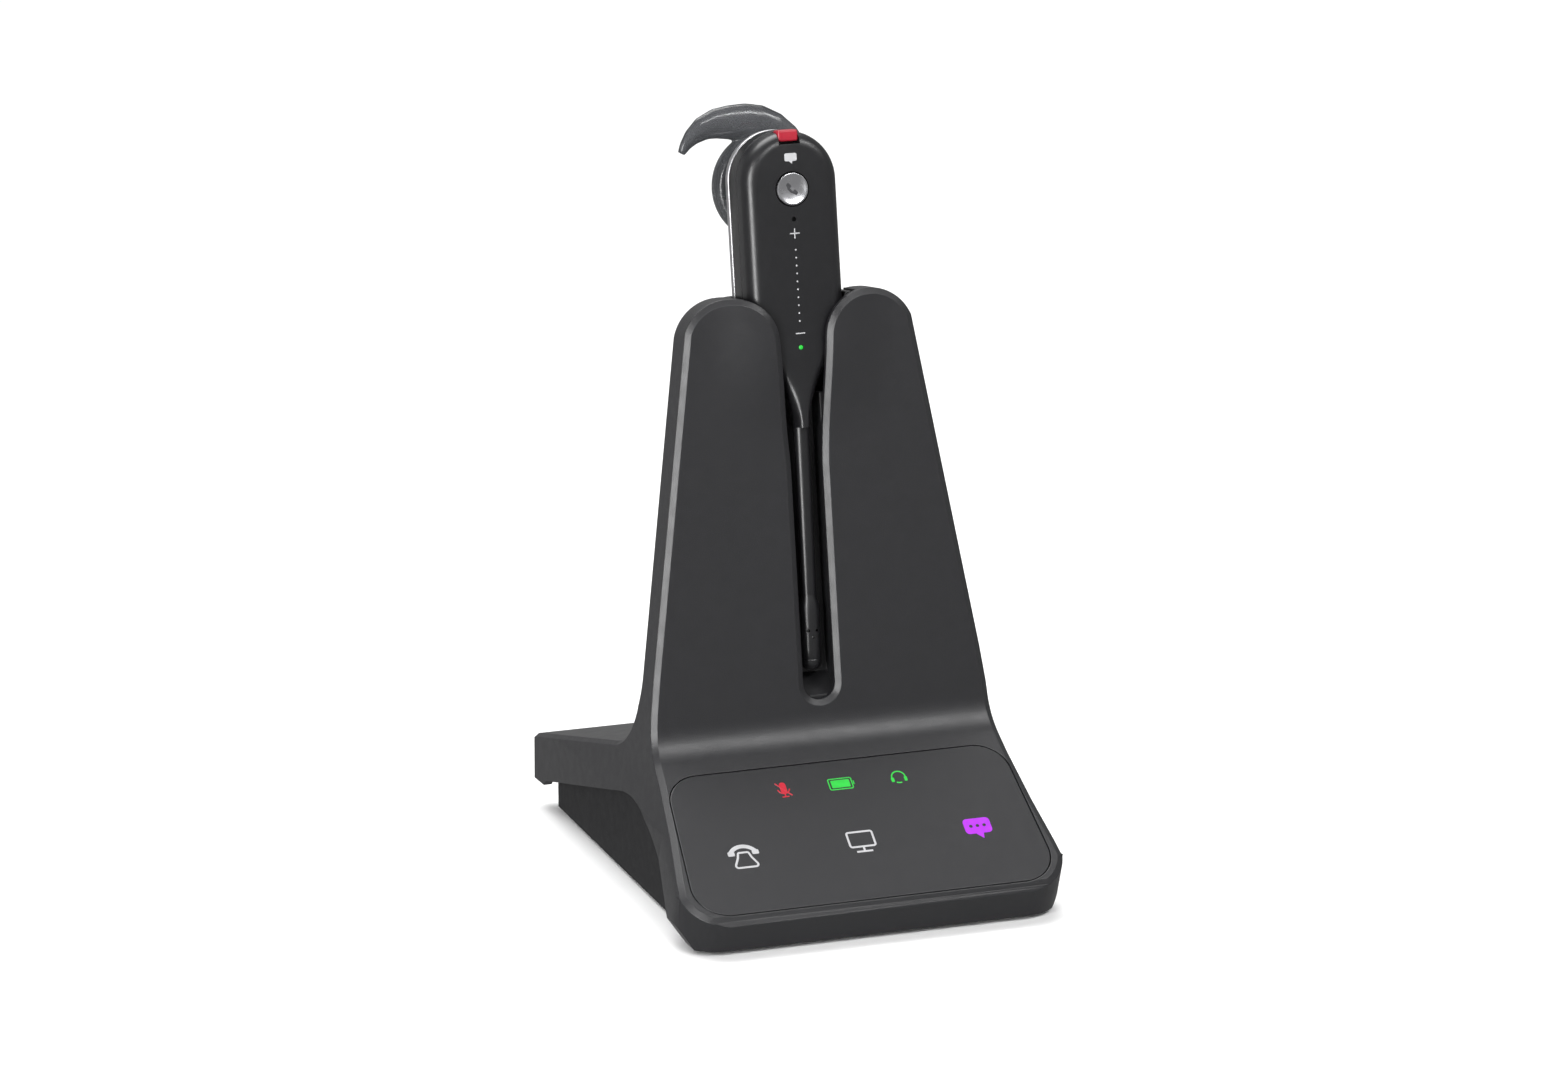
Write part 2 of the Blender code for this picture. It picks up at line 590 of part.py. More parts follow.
def make_housings():
    sections = [(BODY_SPLIT, 0.0)] + FRONT_EDGE
    front = loft("headset_front_housing", HEADSET, GLOSS_PLASTIC,
                 [(out, body_outline(inset)) for out, inset in sections])
    boolean(front, plate("front_hollow", HEADSET, None, pill(9.9, 90.5, 135.6), -8.0, -0.5))
    boolean(front, cylinder("call_bore", HEADSET, None, CALL_RADIUS + GAP, -2.0, 3.0, (0, CALL_AT, 0)))
    boolean(front, cylinder("mic_bore", HEADSET, None, 0.5, -2.0, 3.0, (0, MIC_HOLE_AT, 0), steps=12))
    boolean(front, cylinder("led_bore", HEADSET, None, 0.95, -8.0, 3.0, (0, LED_AT, 0), steps=16))
    boolean(front, block("mute_way", HEADSET, None, (-2.6, 133.0, -4.4), (2.6, 140.0, -0.9)))
    boolean(front, tube("boom_socket", HEADSET, None, [(0, 70, -2.5), (0, 81.4, -2.4)], BOOM_RADIUS + GAP))

    rear = plate("headset_rear_housing", HEADSET, GLOSS_PLASTIC, body_outline(0.0, 80.0, 7.6),
                 RIM_FRONT + GAP, BODY_SPLIT - GAP)
    boolean(rear, plate("rear_core", HEADSET, None, body_outline(1.7, 80.2, 7.2), BODY_BACK,
                        RIM_FRONT + 1.0), "UNION")
    boolean(rear, plate("rear_hollow", HEADSET, None, pill(8.2, 84.5, 133.9), BODY_BACK + 1.3, -1.0))
    boolean(rear, cylinder("speaker_opening", HEADSET, None, 6.6, -20.0, -8.0, (0, CALL_AT, 0)))
    for side, x in (("left", -CONTACT_X), ("right", CONTACT_X)):
        boolean(rear, cylinder(f"pad_bore_{side}", HEADSET, None, 1.2, 78.0, 85.0, (x, 0.0, CONTACT_N),
                               (-90.0, 0.0, 0.0), 16))
        turned(f"charge_contact_{side}", HEADSET, GOLD,
               [(0.0, 82.9), (0.9, 82.9), (0.9, 79.9), (0.0, 79.9)], (x, 0.0, CONTACT_N),
               (-90.0, 0.0, 0.0), 16)

    rim = plate("headset_rim", HEADSET, SATIN_METAL, body_outline(0.0, 80.0, 7.6), BODY_BACK, RIM_FRONT)
    boolean(rim, plate("rim_hole", HEADSET, None, body_outline(1.4, 79.0, 7.6), -20.0, 0.0))
    boolean(rim, block("rim_end", HEADSET, None, (-20.0, 60.0, -20.0), (20.0, 86.0, 0.0)))


def make_controls():
    turned("call_button", CALL_BUTTON, SPUN_METAL,
           [(0.0, 1.05), (2.6, 1.25), (3.3, 1.35), (CALL_RADIUS, 1.0), (CALL_RADIUS, -0.8), (1.4, -0.8),
            (1.4, -1.5), (0.0, -1.5)], steps=40)
    block("mute_button", MUTE_BUTTON, RED_PLASTIC, (-2.3, -3.2, -1.45), (2.3, 1.0, 1.45), 0.45)
    turned("call_switch", HEADSET, TIN, [(0.0, -2.3), (1.2, -2.4), (2.2, -3.0), (2.2, -3.6), (0.0, -3.6)],
           (0, CALL_AT, 0))
    block("mute_switch", HEADSET, CHIP_EPOXY, (-2.0, 128.6, -3.5), (2.0, 131.6, -1.7), 0.2)
    turned("status_light_pipe", HEADSET, GREEN_LIGHT,
           [(0.0, BODY_FRONT), (0.62, 0.75), (0.62, -2.6), (0.0, -2.6)], (0, LED_AT, 0), steps=16)
    block("volume_sensor", HEADSET, CIRCUIT_BOARD, (-2.6, 91.5, -0.95), (2.6, 112.0, -0.8))


def make_headset_inside():
    plate("headset_board", HEADSET, CIRCUIT_BOARD, pill(8.8, 91.2, 132.6), -4.8, -3.9)
    block("battery", HEADSET, FOIL, (-7.4, 90.5, -10.6), (7.4, 114.0, -5.4), 0.7)
    block("mic_ambient", HEADSET, TIN, (-1.4, MIC_HOLE_AT - 1.4, -1.9), (1.4, MIC_HOLE_AT + 1.4, -0.8), 0.15)
    turned("speaker_housing", HEADSET, GLOSS_PLASTIC,
           [(9.0, -13.1), (6.4, -13.1), (6.4, -18.6), (2.2, -21.8), (2.2, -27.4), (3.2, -27.4),
            (3.2, -22.4), (7.6, -19.0), (7.6, -14.9), (9.0, -14.6)][::-1], (0, CALL_AT, 0), steps=32,
           closed=True)
    turned("speaker_driver", HEADSET, SATIN_METAL,
           [(0.0, -13.6), (6.0, -13.6), (6.0, -16.4), (4.4, -17.6), (0.0, -17.6)], (0, CALL_AT, 0))
    turned("speaker_screen", HEADSET, TIN, [(0.0, -26.6), (1.85, -26.6), (1.85, -27.1), (0.0, -27.1)],
           (0, CALL_AT, 0), steps=16)


def make_boom():
    boom = tube("boom_tube", HEADSET, GLOSS_PLASTIC,
                [(0, 81.0, -2.4), (0, 70.0, -2.5), (0, 50.0, -3.0), (0, 31.8, -4.2)], BOOM_RADIUS, 5)
    tip_path = [(0, 31.4, -4.3), (0, 30.2, -4.35), (0, 27.0, -4.45), (0, 16.6, -4.6), (0, 14.9, -4.6),
                (0, 14.1, -4.6)]
    tip_radii = (1.7, 2.2, 2.4, 2.4, 2.0, 1.1)
    tip = loft_along("mic_capsule", HEADSET, GLOSS_PLASTIC, tip_path, tip_radii)
    boolean(tip, cylinder("mic_tip_space", HEADSET, None, 1.7, 17.0, 29.0, (0, 0, -4.4),
                          (-90.0, 0.0, 0.0)))
    for number, (x, along) in enumerate(((-1.0, 23.2), (1.0, 23.2), (0.0, 21.8))):
        boolean(tip, cylinder(f"mic_port_{number}", HEADSET, None, 0.35, -4.0, 0.0, (x, along, 0), steps=10))
    cylinder("mic_element", HEADSET, TIN, 1.35, 19.6, 25.6, (0, 0, -4.4), (-90.0, 0.0, 0.0))
    return boom


def loft_along(name, frame, finish, path, radii, squash=0.88, count=20):
    """A round bar along the mast, wider than deep, through centres with the radii given."""
    solid = bmesh.new()
    loops = []
    for (x, along, out), radius in zip(path, radii):
        loops.append([solid.verts.new(Vector((x + radius * cos(2 * pi * i / count), along,
                                              out + squash * radius * sin(2 * pi * i / count))) * MM)
                      for i in range(count)])
    for one, two in zip(loops, loops[1:]):
        for i in range(count):
            solid.faces.new((one[i], one[(i + 1) % count], two[(i + 1) % count], two[i]))
    solid.faces.new(loops[0])
    solid.faces.new(loops[-1])
    bmesh.ops.recalc_face_normals(solid, faces=solid.faces)
    mesh = bpy.data.meshes.new(name)
    solid.to_mesh(mesh)
    solid.free()
    return place(name, mesh, frame, finish)


def wing_outline():
    """The gel's curved wing seen from the front, about the speaker's axis."""
    outer_centre, outer_radius = Vector((-5.5, 3.5)), 15.8
    outer = [outer_centre + Matrix.Rotation(radians(angle), 2) @ Vector((outer_radius, 0.0))
             for angle in range(20, 161, 10)]
    tip_and_root = rounded([tuple(outer[0]), tuple(outer[-1]), (-20.6, 8.2, 0.8), (-18.6, 7.6, 0.7),
                            (-13.6, 11.6, 5.0), (-9.0, 11.6, 2.6), (-7.5, 3.0), (4.0, 3.0)], 18.0)
    return [tuple(point) for point in outer] + tip_and_root[2:]


def make_ear_gel():
    gel = turned("ear_gel", EARPIECE, SMOKED_GEL,
                 [(8.0, -15.3), (7.9, -19.2), (3.55, -22.8), (3.55, -28.4), (4.6, -28.9), (5.4, -27.0),
                  (6.4, -24.2), (10.6, -21.2), (12.7, -18.4), (12.6, -16.4), (11.2, -15.3)][::-1],
                 steps=36, closed=True)
    wing = plate("wing", EARPIECE, None, wing_outline(), -19.0, -16.0)
    boolean(wing, cylinder("wing_bore", EARPIECE, None, 9.5, -30.0, 0.0))
    boolean(gel, wing, "UNION")
    return gel


clear_scene()
PARTS = collection("office_headset")
CUTTERS = collection("office_headset_cutters")

SHELL_PLASTIC = material("stand_shell", (0.045, 0.045, 0.048), 0.52)
PANEL_PLASTIC = material("touch_panel", (0.036, 0.036, 0.040), 0.42)
COVER_PLASTIC = material("bottom_cover", (0.020, 0.020, 0.022), 0.6)
LINER_PLASTIC = material("cradle", (0.018, 0.018, 0.020), 0.5)
GLOSS_PLASTIC = material("headset_plastic", (0.030, 0.030, 0.033), 0.38)
SATIN_METAL = material("rim_satin", (0.42, 0.42, 0.44), 0.35, 0.9)
SPUN_METAL = material("spun_metal", (0.50, 0.50, 0.52), 0.28, 1.0)
RED_PLASTIC = material("mute_red", (0.55, 0.02, 0.04), 0.35)
GREEN_LIGHT = material("status_green", (0.02, 0.75, 0.10), 0.4, 0.0, 3.0)
SMOKED_GEL = material("smoked_gel", (0.060, 0.062, 0.066), 0.3)
RUBBER = material("rubber", (0.025, 0.025, 0.025), 0.8)
DIFFUSER = material("light_guide", (0.75, 0.77, 0.80), 0.5)
CIRCUIT_BOARD = material("circuit_board", (0.02, 0.12, 0.05), 0.5)
TIN = material("tinned_metal", (0.62, 0.62, 0.63), 0.35, 1.0)
GOLD = material("gold_contact", (0.83, 0.62, 0.24), 0.25, 1.0)
CHIP_EPOXY = material("black_epoxy", (0.015, 0.015, 0.015), 0.6)
PLATED_STEEL = material("plated_steel", (0.48, 0.48, 0.50), 0.4, 1.0)
SCREW_STEEL = material("screw_steel", (0.35, 0.35, 0.37), 0.35, 1.0)
FOIL = material("battery_foil", (0.70, 0.71, 0.73), 0.4, 0.8)

STAND = frame_empty("stand_frame", None, (0.0, CORNER_Y, FOOT_LIFT))
MAST = frame_empty("mast_frame", STAND, (0.0, 0.0, CORNER_Z), 90.0 - MAST_LEAN)
PANEL = frame_empty("panel_frame", STAND, (0.0, 0.0, CORNER_Z), PANEL_SLOPE)
FRONT_WALL = frame_empty("front_wall_frame", STAND, (0.0, 0.0, CORNER_Z), FRONT_WALL_SLANT)
HEADSET = frame_empty("headset_frame", MAST, (0.0, 0.0, 0.0))
CALL_BUTTON = frame_empty("call_button_axis", HEADSET, (0.0, CALL_AT, 0.0))
MUTE_BUTTON = frame_empty("mute_button_axis", HEADSET, (0.0, 137.0, -2.65))
EARPIECE = frame_empty("earpiece_axis", HEADSET, (0.0, CALL_AT, 0.0))

# Side view of the mast: outline x runs along the mast, y out of its face, thickness along X
STAND_MAST_SIDE = bpy.data.objects.new("mast_side_frame", None)
PARTS.objects.link(STAND_MAST_SIDE)
STAND_MAST_SIDE.parent = MAST
STAND_MAST_SIDE.rotation_euler = (radians(90.0), 0.0, radians(90.0))

make_shell()
make_cradle()
make_back_cover()
make_touch_panel()
make_bottom_cover()
make_electronics()
make_housings()
make_controls()
make_headset_inside()
make_boom()
make_ear_gel()
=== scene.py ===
"""Looks of the office headset in its charging stand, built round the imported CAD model."""
import json
from math import atan2, cos, pi, radians, sin, tan
import bmesh  # noqa: E402
import bpy  # noqa: E402
from mathutils import Matrix, Vector  # noqa: E402
from mathutils.kdtree import KDTree  # noqa: E402


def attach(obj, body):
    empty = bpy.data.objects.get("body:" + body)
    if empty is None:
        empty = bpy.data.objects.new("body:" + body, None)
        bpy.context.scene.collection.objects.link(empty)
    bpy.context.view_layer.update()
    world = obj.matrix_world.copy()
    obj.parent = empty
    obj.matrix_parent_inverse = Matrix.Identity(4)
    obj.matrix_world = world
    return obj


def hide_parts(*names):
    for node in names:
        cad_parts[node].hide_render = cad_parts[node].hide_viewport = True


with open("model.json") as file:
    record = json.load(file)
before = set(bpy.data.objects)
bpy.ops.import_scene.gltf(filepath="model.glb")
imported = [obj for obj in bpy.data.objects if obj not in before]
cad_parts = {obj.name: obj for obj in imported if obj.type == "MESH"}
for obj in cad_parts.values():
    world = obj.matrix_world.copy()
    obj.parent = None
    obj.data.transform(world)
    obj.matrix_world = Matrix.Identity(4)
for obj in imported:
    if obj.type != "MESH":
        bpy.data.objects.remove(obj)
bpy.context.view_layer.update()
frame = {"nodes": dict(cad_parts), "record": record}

MM = 0.001                      # the shapes are made in millimetres and scaled when they are handed over

# ------------------------------------------------------------------ stand, in millimetres and degrees
CREASE_HEIGHT = 35.7            # where the planes of the mast's face and of the panel meet
LEAN = 9.26                     # of the mast, backwards
SLOPE = 35.4                    # of the panel
FRONT_WALL_LEAN = 22.2
FACE = 0.84                     # the outer skin, out of those planes
CHAMFER = 1.35                  # width of the bright edge strip
WALL = 2.0
PANEL_SKIN = 3.6
MAST_TOP = 100.6
MAST_DEPTH = 7.9
COVER_BACK = -7.8               # the back cover's outer face, a little inside the mast's back
FRONT_FOOT_Y = -38.2
FRONT_LIP = (-40.9, 6.6)
PANEL_LENGTH = 48.9
REAR_Y = 81.4
REAR_TOP_Z, REAR_BOTTOM_Z = 16.4, 5.4
ARM_END = (REAR_Y - 4.2, 17.7)  # y and z of the rear leg's top, before its rear edge
ARM_FALL = 14.2
ARCH_REAR, ARCH_FALL = (41.2, 15.3), 14.6
ARCH_FRONT, ARCH_RISE = (-12.5, 14.9), 43.0
SIDES = [(-6.0, 39.1), (0.0, 42.7), (6.6, 46.7), (15.2, 45.0), (22.0, 43.3), (30.0, 41.8), (37.0, 41.0),
         (44.0, 40.4), (52.0, 39.3), (160.0, 22.0)]             # height and half width
FRONT_HALF, REAR_HALF = 47.2, 43.6
FRONT_PLAN, FRONT_CORNER = -48.9, 10.6
LOBE_TOP, LOBE_EDGE, LOBE_ROUND = 100.4, 26.3, 11.0
LOBE_SIDE = (31.1, 70.0)        # where the mast's side edge leaves the lobe
SWELL = 2.7                     # how far the lobes bulge forward
SWELL_FROM = -1.45              # just behind the front skin; all that lies further out bulges with it
PORTS_X, PORT_Z = (-11.0, 11.0), 11.2
PANEL_GAP, COVER_GAP = 0.18, 0.12
POCKET_HALF, POCKET_FLOOR = 12.0, 77.5
CHANNEL_BACK = -7.4
CONTACT_X, CONTACT_OUT = 4.2, -10.9

# ------------------------------------------------------------------ headset, in millimetres
BODY_HALF = 11.3
TOP_CENTRE = 125.7              # of the body's round top, along the mast
FUNNEL_TOP = 91.5
FUNNEL_FOOT = 71.0
NECK_LOW = 70.0
NECK_HALF = 1.7
REAR_FOOT = 80.0
CALL_AT, CALL_RADIUS = 124.0, 3.75
MIC_HOLE_AT = 117.2
LIGHT_AT = 88.2
MUTE_HALF, MUTE_LOW, MUTE_TOP = 2.42, 134.7, 137.3
BOOM_TOP, BOOM_HALF, BOOM_DEPTH = 79.5, 1.8, 1.6
GEL_MIDDLE = -17.4              # of the wing's thickness, out of the earpiece's plane


def move(x, y, z):
    return Matrix.Translation((x, y, z))


def tilt(angle, axis="X"):
    return Matrix.Rotation(radians(angle), 4, axis)


STAND = move(0.0, -20.25, 1.0)
CREASE = STAND @ move(0.0, 0.0, CREASE_HEIGHT)
MAST = CREASE @ tilt(90.0 - LEAN)                 # x, along the mast, out of its face
PANEL = CREASE @ tilt(SLOPE)                      # x, up the slope, out of the panel
FRONT_WALL = CREASE @ tilt(FRONT_WALL_LEAN)
SIDE = STAND @ tilt(90.0, "Z") @ tilt(90.0)       # y, z, across
FRONT = STAND @ tilt(90.0)                        # x, z, towards the front
EARPIECE = MAST @ move(0.0, CALL_AT, 0.0)
MAST_SIDE = MAST @ tilt(90.0, "Z") @ tilt(90.0)   # along, out, across
MAST_UP = MAST @ Matrix(((-1, 0, 0, 0), (0, 0, 1, 0), (0, 1, 0, 0), (0, 0, 0, 1)))  # across, out, along


# ------------------------------------------------------------------ materials
def material(name, color, roughness, metallic=0.0, grain=0.0, grain_size=0.25, mottling=0.0, spread=0.08,
             transmission=0.0, ior=1.5, glow=None, soft_edge=0.0, specular=0.5):
    """Principled material with procedural grain, roughness variation, tone variation and softened edges."""
    made = bpy.data.materials.new(name)
    made.use_nodes = True
    nodes, links = made.node_tree.nodes, made.node_tree.links
    shader = nodes["Principled BSDF"]
    shader.inputs["Metallic"].default_value = metallic
    shader.inputs["IOR"].default_value = ior
    shader.inputs["Transmission Weight"].default_value = transmission
    shader.inputs["Specular IOR Level"].default_value = specular
    where = nodes.new("ShaderNodeTexCoord")

    def noise(size, detail):
        texture = nodes.new("ShaderNodeTexNoise")
        texture.inputs["Scale"].default_value = 1.0 / (size * MM)
        texture.inputs["Detail"].default_value = detail
        links.new(where.outputs["Object"], texture.inputs["Vector"])
        return texture.outputs["Fac"]

    def remap(value, low, high):
        node = nodes.new("ShaderNodeMapRange")
        node.inputs["From Min"].default_value = 0.3
        node.inputs["From Max"].default_value = 0.7
        node.inputs["To Min"].default_value = low
        node.inputs["To Max"].default_value = high
        links.new(value, node.inputs["Value"])
        return node.outputs["Result"]

    def shade(factor, dark, light):
        mix = nodes.new("ShaderNodeMix")
        mix.data_type = "RGBA"
        links.new(factor, mix.inputs["Factor"])
        mix.inputs[6].default_value = (*dark, 1.0)
        mix.inputs[7].default_value = (*light, 1.0)
        return mix.outputs[2]

    dark = [channel * (1.0 - mottling) for channel in color]
    light = [min(1.0, channel * (1.0 + mottling)) for channel in color]
    tone = shade(remap(noise(9.0, 3.0), 0.0, 1.0), dark, light)
    links.new(tone, shader.inputs["Base Color"])
    links.new(remap(noise(2.6, 4.0), roughness - spread, roughness + spread), shader.inputs["Roughness"])
    if grain:
        bump = nodes.new("ShaderNodeBump")
        bump.inputs["Strength"].default_value = grain
        bump.inputs["Distance"].default_value = 0.06 * MM
        links.new(noise(grain_size, 2.0), bump.inputs["Height"])
        links.new(bump.outputs["Normal"], shader.inputs["Normal"])
        if soft_edge:
            soft = nodes.new("ShaderNodeBevel")
            soft.samples = 6
            soft.inputs["Radius"].default_value = soft_edge * MM
            links.new(soft.outputs["Normal"], bump.inputs["Normal"])
    if glow:
        shader.inputs["Emission Strength"].default_value = 1.0
        dimmer = [channel * 0.85 for channel in glow]
        links.new(shade(remap(noise(1.5, 1.0), 0.0, 1.0), dimmer, glow), shader.inputs["Emission Color"])
    return made


def spun_metal(name, color):
    """Metal turned on a lathe: fine rings about the call button's centre."""
    made = material(name, color, 0.26, metallic=1.0, mottling=0.04)
    nodes, links = made.node_tree.nodes, made.node_tree.links
    shader = nodes["Principled BSDF"]
    where = nodes.new("ShaderNodeTexCoord")
    rings = nodes.new("ShaderNodeTexWave")
    rings.wave_type = "RINGS"
    rings.rings_direction = "SPHERICAL"
    rings.inputs["Scale"].default_value = 420.0
    rings.inputs["Distortion"].default_value = 0.6
    shift = nodes.new("ShaderNodeMapping")
    shift.inputs["Location"].default_value = [-value * MM for value in EARPIECE @ Vector((0, 0, 1))]
    links.new(where.outputs["Object"], shift.inputs["Vector"])
    links.new(shift.outputs["Vector"], rings.inputs["Vector"])
    bump = nodes.new("ShaderNodeBump")
    bump.inputs["Strength"].default_value = 0.12
    bump.inputs["Distance"].default_value = 0.02 * MM
    links.new(rings.outputs["Fac"], bump.inputs["Height"])
    links.new(bump.outputs["Normal"], shader.inputs["Normal"])
    return made


SHELL = material("shell_plastic", (0.0135, 0.0135, 0.015), 0.37, grain=0.5, grain_size=0.2, mottling=0.02,
                 soft_edge=0.3, spread=0.03)
TOUCH = material("touch_plastic", (0.0105, 0.0105, 0.012), 0.36, grain=0.25, grain_size=0.16, mottling=0.02,
                 soft_edge=0.2, spread=0.02)
COVER = material("cover_plastic", (0.007, 0.007, 0.008), 0.55, grain=0.6, grain_size=0.3, mottling=0.04,
                 soft_edge=0.4, spread=0.04, specular=0.3)
LINER = material("liner_plastic", (0.008, 0.008, 0.009), 0.45, grain=0.4, grain_size=0.3, mottling=0.06,
                 soft_edge=0.4)
BODY = material("body_plastic", (0.008, 0.008, 0.009), 0.32, grain=0.2, grain_size=0.14, mottling=0.03,
                spread=0.03)
RIM = material("rim_satin", (0.42, 0.42, 0.43), 0.34, metallic=0.85, grain=0.25, grain_size=0.2,
               mottling=0.05, spread=0.04)
METAL = spun_metal("call_metal", (0.56, 0.56, 0.58))
RED = material("mute_red", (0.30, 0.009, 0.022), 0.34, grain=0.15, grain_size=0.2, mottling=0.07)
GEL = material("smoked_silicone", (0.085, 0.088, 0.094), 0.20, grain=0.12, grain_size=0.6, mottling=0.10,
               transmission=0.62, ior=1.41)
RUBBER = material("foot_rubber", (0.020, 0.020, 0.020), 0.80, grain=0.8, grain_size=0.4, mottling=0.12)
GREEN = material("light_green", (0.005, 0.10, 0.01), 0.4, glow=(0.013, 0.62, 0.045))
RED_LIGHT = material("light_red", (0.10, 0.001, 0.005), 0.4, glow=(0.56, 0.002, 0.022))
WHITE_LIGHT = material("light_white", (0.12, 0.12, 0.12), 0.4, glow=(0.50, 0.50, 0.52))
PURPLE_LIGHT = material("light_purple", (0.06, 0.002, 0.12), 0.4, glow=(0.50, 0.013, 0.86))
PRINT = material("white_print", (0.36, 0.36, 0.37), 0.5, mottling=0.05)
INK = material("dark_ink", (0.03, 0.03, 0.033), 0.45, mottling=0.1)
BOARD = material("circuit_board", (0.015, 0.10, 0.045), 0.45, grain=0.3, grain_size=0.8, mottling=0.25)
TIN = material("tinned_metal", (0.60, 0.60, 0.61), 0.32, metallic=1.0, grain=0.3, grain_size=0.5,
               mottling=0.08)
GOLD = material("gold_plating", (0.80, 0.58, 0.22), 0.25, metallic=1.0, grain=0.1, mottling=0.06)
EPOXY = material("black_epoxy", (0.012, 0.012, 0.012), 0.6, grain=0.5, grain_size=0.2, mottling=0.2)
STEEL = material("plated_steel", (0.45, 0.45, 0.47), 0.38, metallic=1.0, grain=0.3, grain_size=1.2,
                 mottling=0.1)
MILKY = material("milky_diffuser", (0.72, 0.74, 0.77), 0.45, grain=0.1, mottling=0.04)
FOIL = material("battery_foil", (0.66, 0.67, 0.70), 0.36, metallic=0.8, grain=0.5, grain_size=1.5,
                mottling=0.06)


# ------------------------------------------------------------------ outlines
def rounded(corners, step=6.0):
    """A closed outline whose corners (x, y) or (x, y, radius) are rounded by arcs, step degrees a side."""
    points = []
    count = len(corners)
    for index, corner in enumerate(corners):
        here = Vector(corner[:2])
        radius = corner[2] if len(corner) > 2 else 0.0
        to_last = (Vector(corners[index - 1][:2]) - here).normalized()
        to_next = (Vector(corners[(index + 1) % count][:2]) - here).normalized()
        if radius == 0.0:
            points.append(tuple(here))
            continue
        angle = to_last.angle(to_next)
        centre = here + (to_last + to_next).normalized() * (radius / sin(angle / 2))
        start = here + to_last * radius / tan(angle / 2) - centre
        end = here + to_next * radius / tan(angle / 2) - centre
        turn = atan2(start.x * end.y - start.y * end.x, start.dot(end))
        steps = max(2, round(abs(turn) / radians(step)))
        for number in range(steps + 1):
            points.append(tuple(centre + Matrix.Rotation(turn * number / steps, 2) @ start))
    return points


def mirrored(right_side):
    return right_side + [(-corner[0], *corner[1:]) for corner in reversed(right_side)]


def corners_at(x, half_x, y, half_y, radius):
    """Corners of a rounded rectangle about (x, y)."""
    return [(x + half_x, y - half_y, radius), (x + half_x, y + half_y, radius),
            (x - half_x, y + half_y, radius), (x - half_x, y - half_y, radius)]


def rounded_box(x, y, half_x, half_y, radius):
    return rounded(corners_at(x, half_x, y, half_y, radius), 15.0)


def ring(radius, x=0.0, y=0.0, count=48):
    return [(x + radius * cos(2 * pi * i / count), y + radius * sin(2 * pi * i / count))
            for i in range(count)]


def arc(x, y, radius, start, end, count=16):
    return [(x + radius * cos(radians(start + (end - start) * i / count)),
             y + radius * sin(radians(start + (end - start) * i / count))) for i in range(count + 1)]


def loop(points):
    """The outline as a line that comes back to its first point."""
    return points + points[:1]


def lean_point(along, out):
    """A point (y, z) of the stand's side view, given along the mast and out of its face."""
    lean = radians(LEAN)
    return (along * sin(lean) - out * cos(lean), CREASE_HEIGHT + along * cos(lean) + out * sin(lean))


def panel_point(down, out):
    """A point (y, z) of the stand's side view, given down the panel and out of it."""
    slope = radians(SLOPE)
    return (-down * cos(slope) - out * sin(slope), CREASE_HEIGHT - down * sin(slope) + out * cos(slope))


def meet(first, first_angle, second, second_angle):
    """Where the line through the first point crosses the line through the second; angles in degrees."""
    way = Vector((cos(radians(first_angle)), sin(radians(first_angle))))
    other = Vector((cos(radians(second_angle)), sin(radians(second_angle))))
    between = Vector(second) - Vector(first)
    reach = (between.x * other.y - between.y * other.x) / (way.x * other.y - way.y * other.x)
    return tuple(Vector(first) + way * reach)


# ------------------------------------------------------------------ mesh work, in millimetres
def temp_object(mesh):
    obj = bpy.data.objects.new("work", mesh)
    bpy.context.scene.collection.objects.link(obj)
    return obj


def mesh_of(solid):
    mesh = bpy.data.meshes.new("work")
    solid.to_mesh(mesh)
    solid.free()
    return mesh


def from_bmesh(solid, matrix):
    bmesh.ops.recalc_face_normals(solid, faces=solid.faces)
    mesh = mesh_of(solid)
    mesh.transform(matrix)
    return temp_object(mesh)


def prism(matrix, outline, low, high):
    """The outline in the matrix's xy plane, extruded from low to high along its z."""
    solid = bmesh.new()
    face = solid.faces.new([solid.verts.new((x, y, low)) for x, y in outline])
    moved = bmesh.ops.extrude_face_region(solid, geom=[face])
    for item in moved["geom"]:
        if isinstance(item, bmesh.types.BMVert):
            item.co.z = high
    return from_bmesh(solid, matrix)


def box(matrix, low, high):
    outline = [(low[0], low[1]), (high[0], low[1]), (high[0], high[1]), (low[0], high[1])]
    return prism(matrix, outline, low[2], high[2])


def loft(matrix, loops):
    """Bridges loops of 3D points of equal length and closes both ends."""
    solid = bmesh.new()
    rows = [[solid.verts.new(point) for point in points] for points in loops]
    for one, two in zip(rows, rows[1:]):
        for i in range(len(one)):
            after = (i + 1) % len(one)
            solid.faces.new((one[i], one[after], two[after], two[i]))
    solid.faces.new(reversed(rows[0]))
    solid.faces.new(rows[-1])
    return from_bmesh(solid, matrix)


def turned(matrix, profile, steps=64):
    """A profile (radius, height) turned about Z; it is a closed loop unless it starts on the axis."""
    open_profile = profile[0][0] == 0.0
    solid = bmesh.new()
    spin = [Matrix.Rotation(2 * pi * i / steps, 3, "Z") for i in range(steps)]
    rows = []
    for radius, height in profile:
        if radius == 0.0:
            rows.append([solid.verts.new((0.0, 0.0, height))] * steps)
        else:
            rows.append([solid.verts.new(turn @ Vector((radius, 0.0, height))) for turn in spin])
    pairs = list(zip(rows, rows[1:])) + ([] if open_profile else [(rows[-1], rows[0])])
    for one, two in pairs:
        for i in range(steps):
            after = (i + 1) % steps
            corners = []
            for vert in (one[i], one[after], two[after], two[i]):
                if vert not in corners:
                    corners.append(vert)
            if len(corners) > 2:
                solid.faces.new(corners)
    return from_bmesh(solid, matrix)


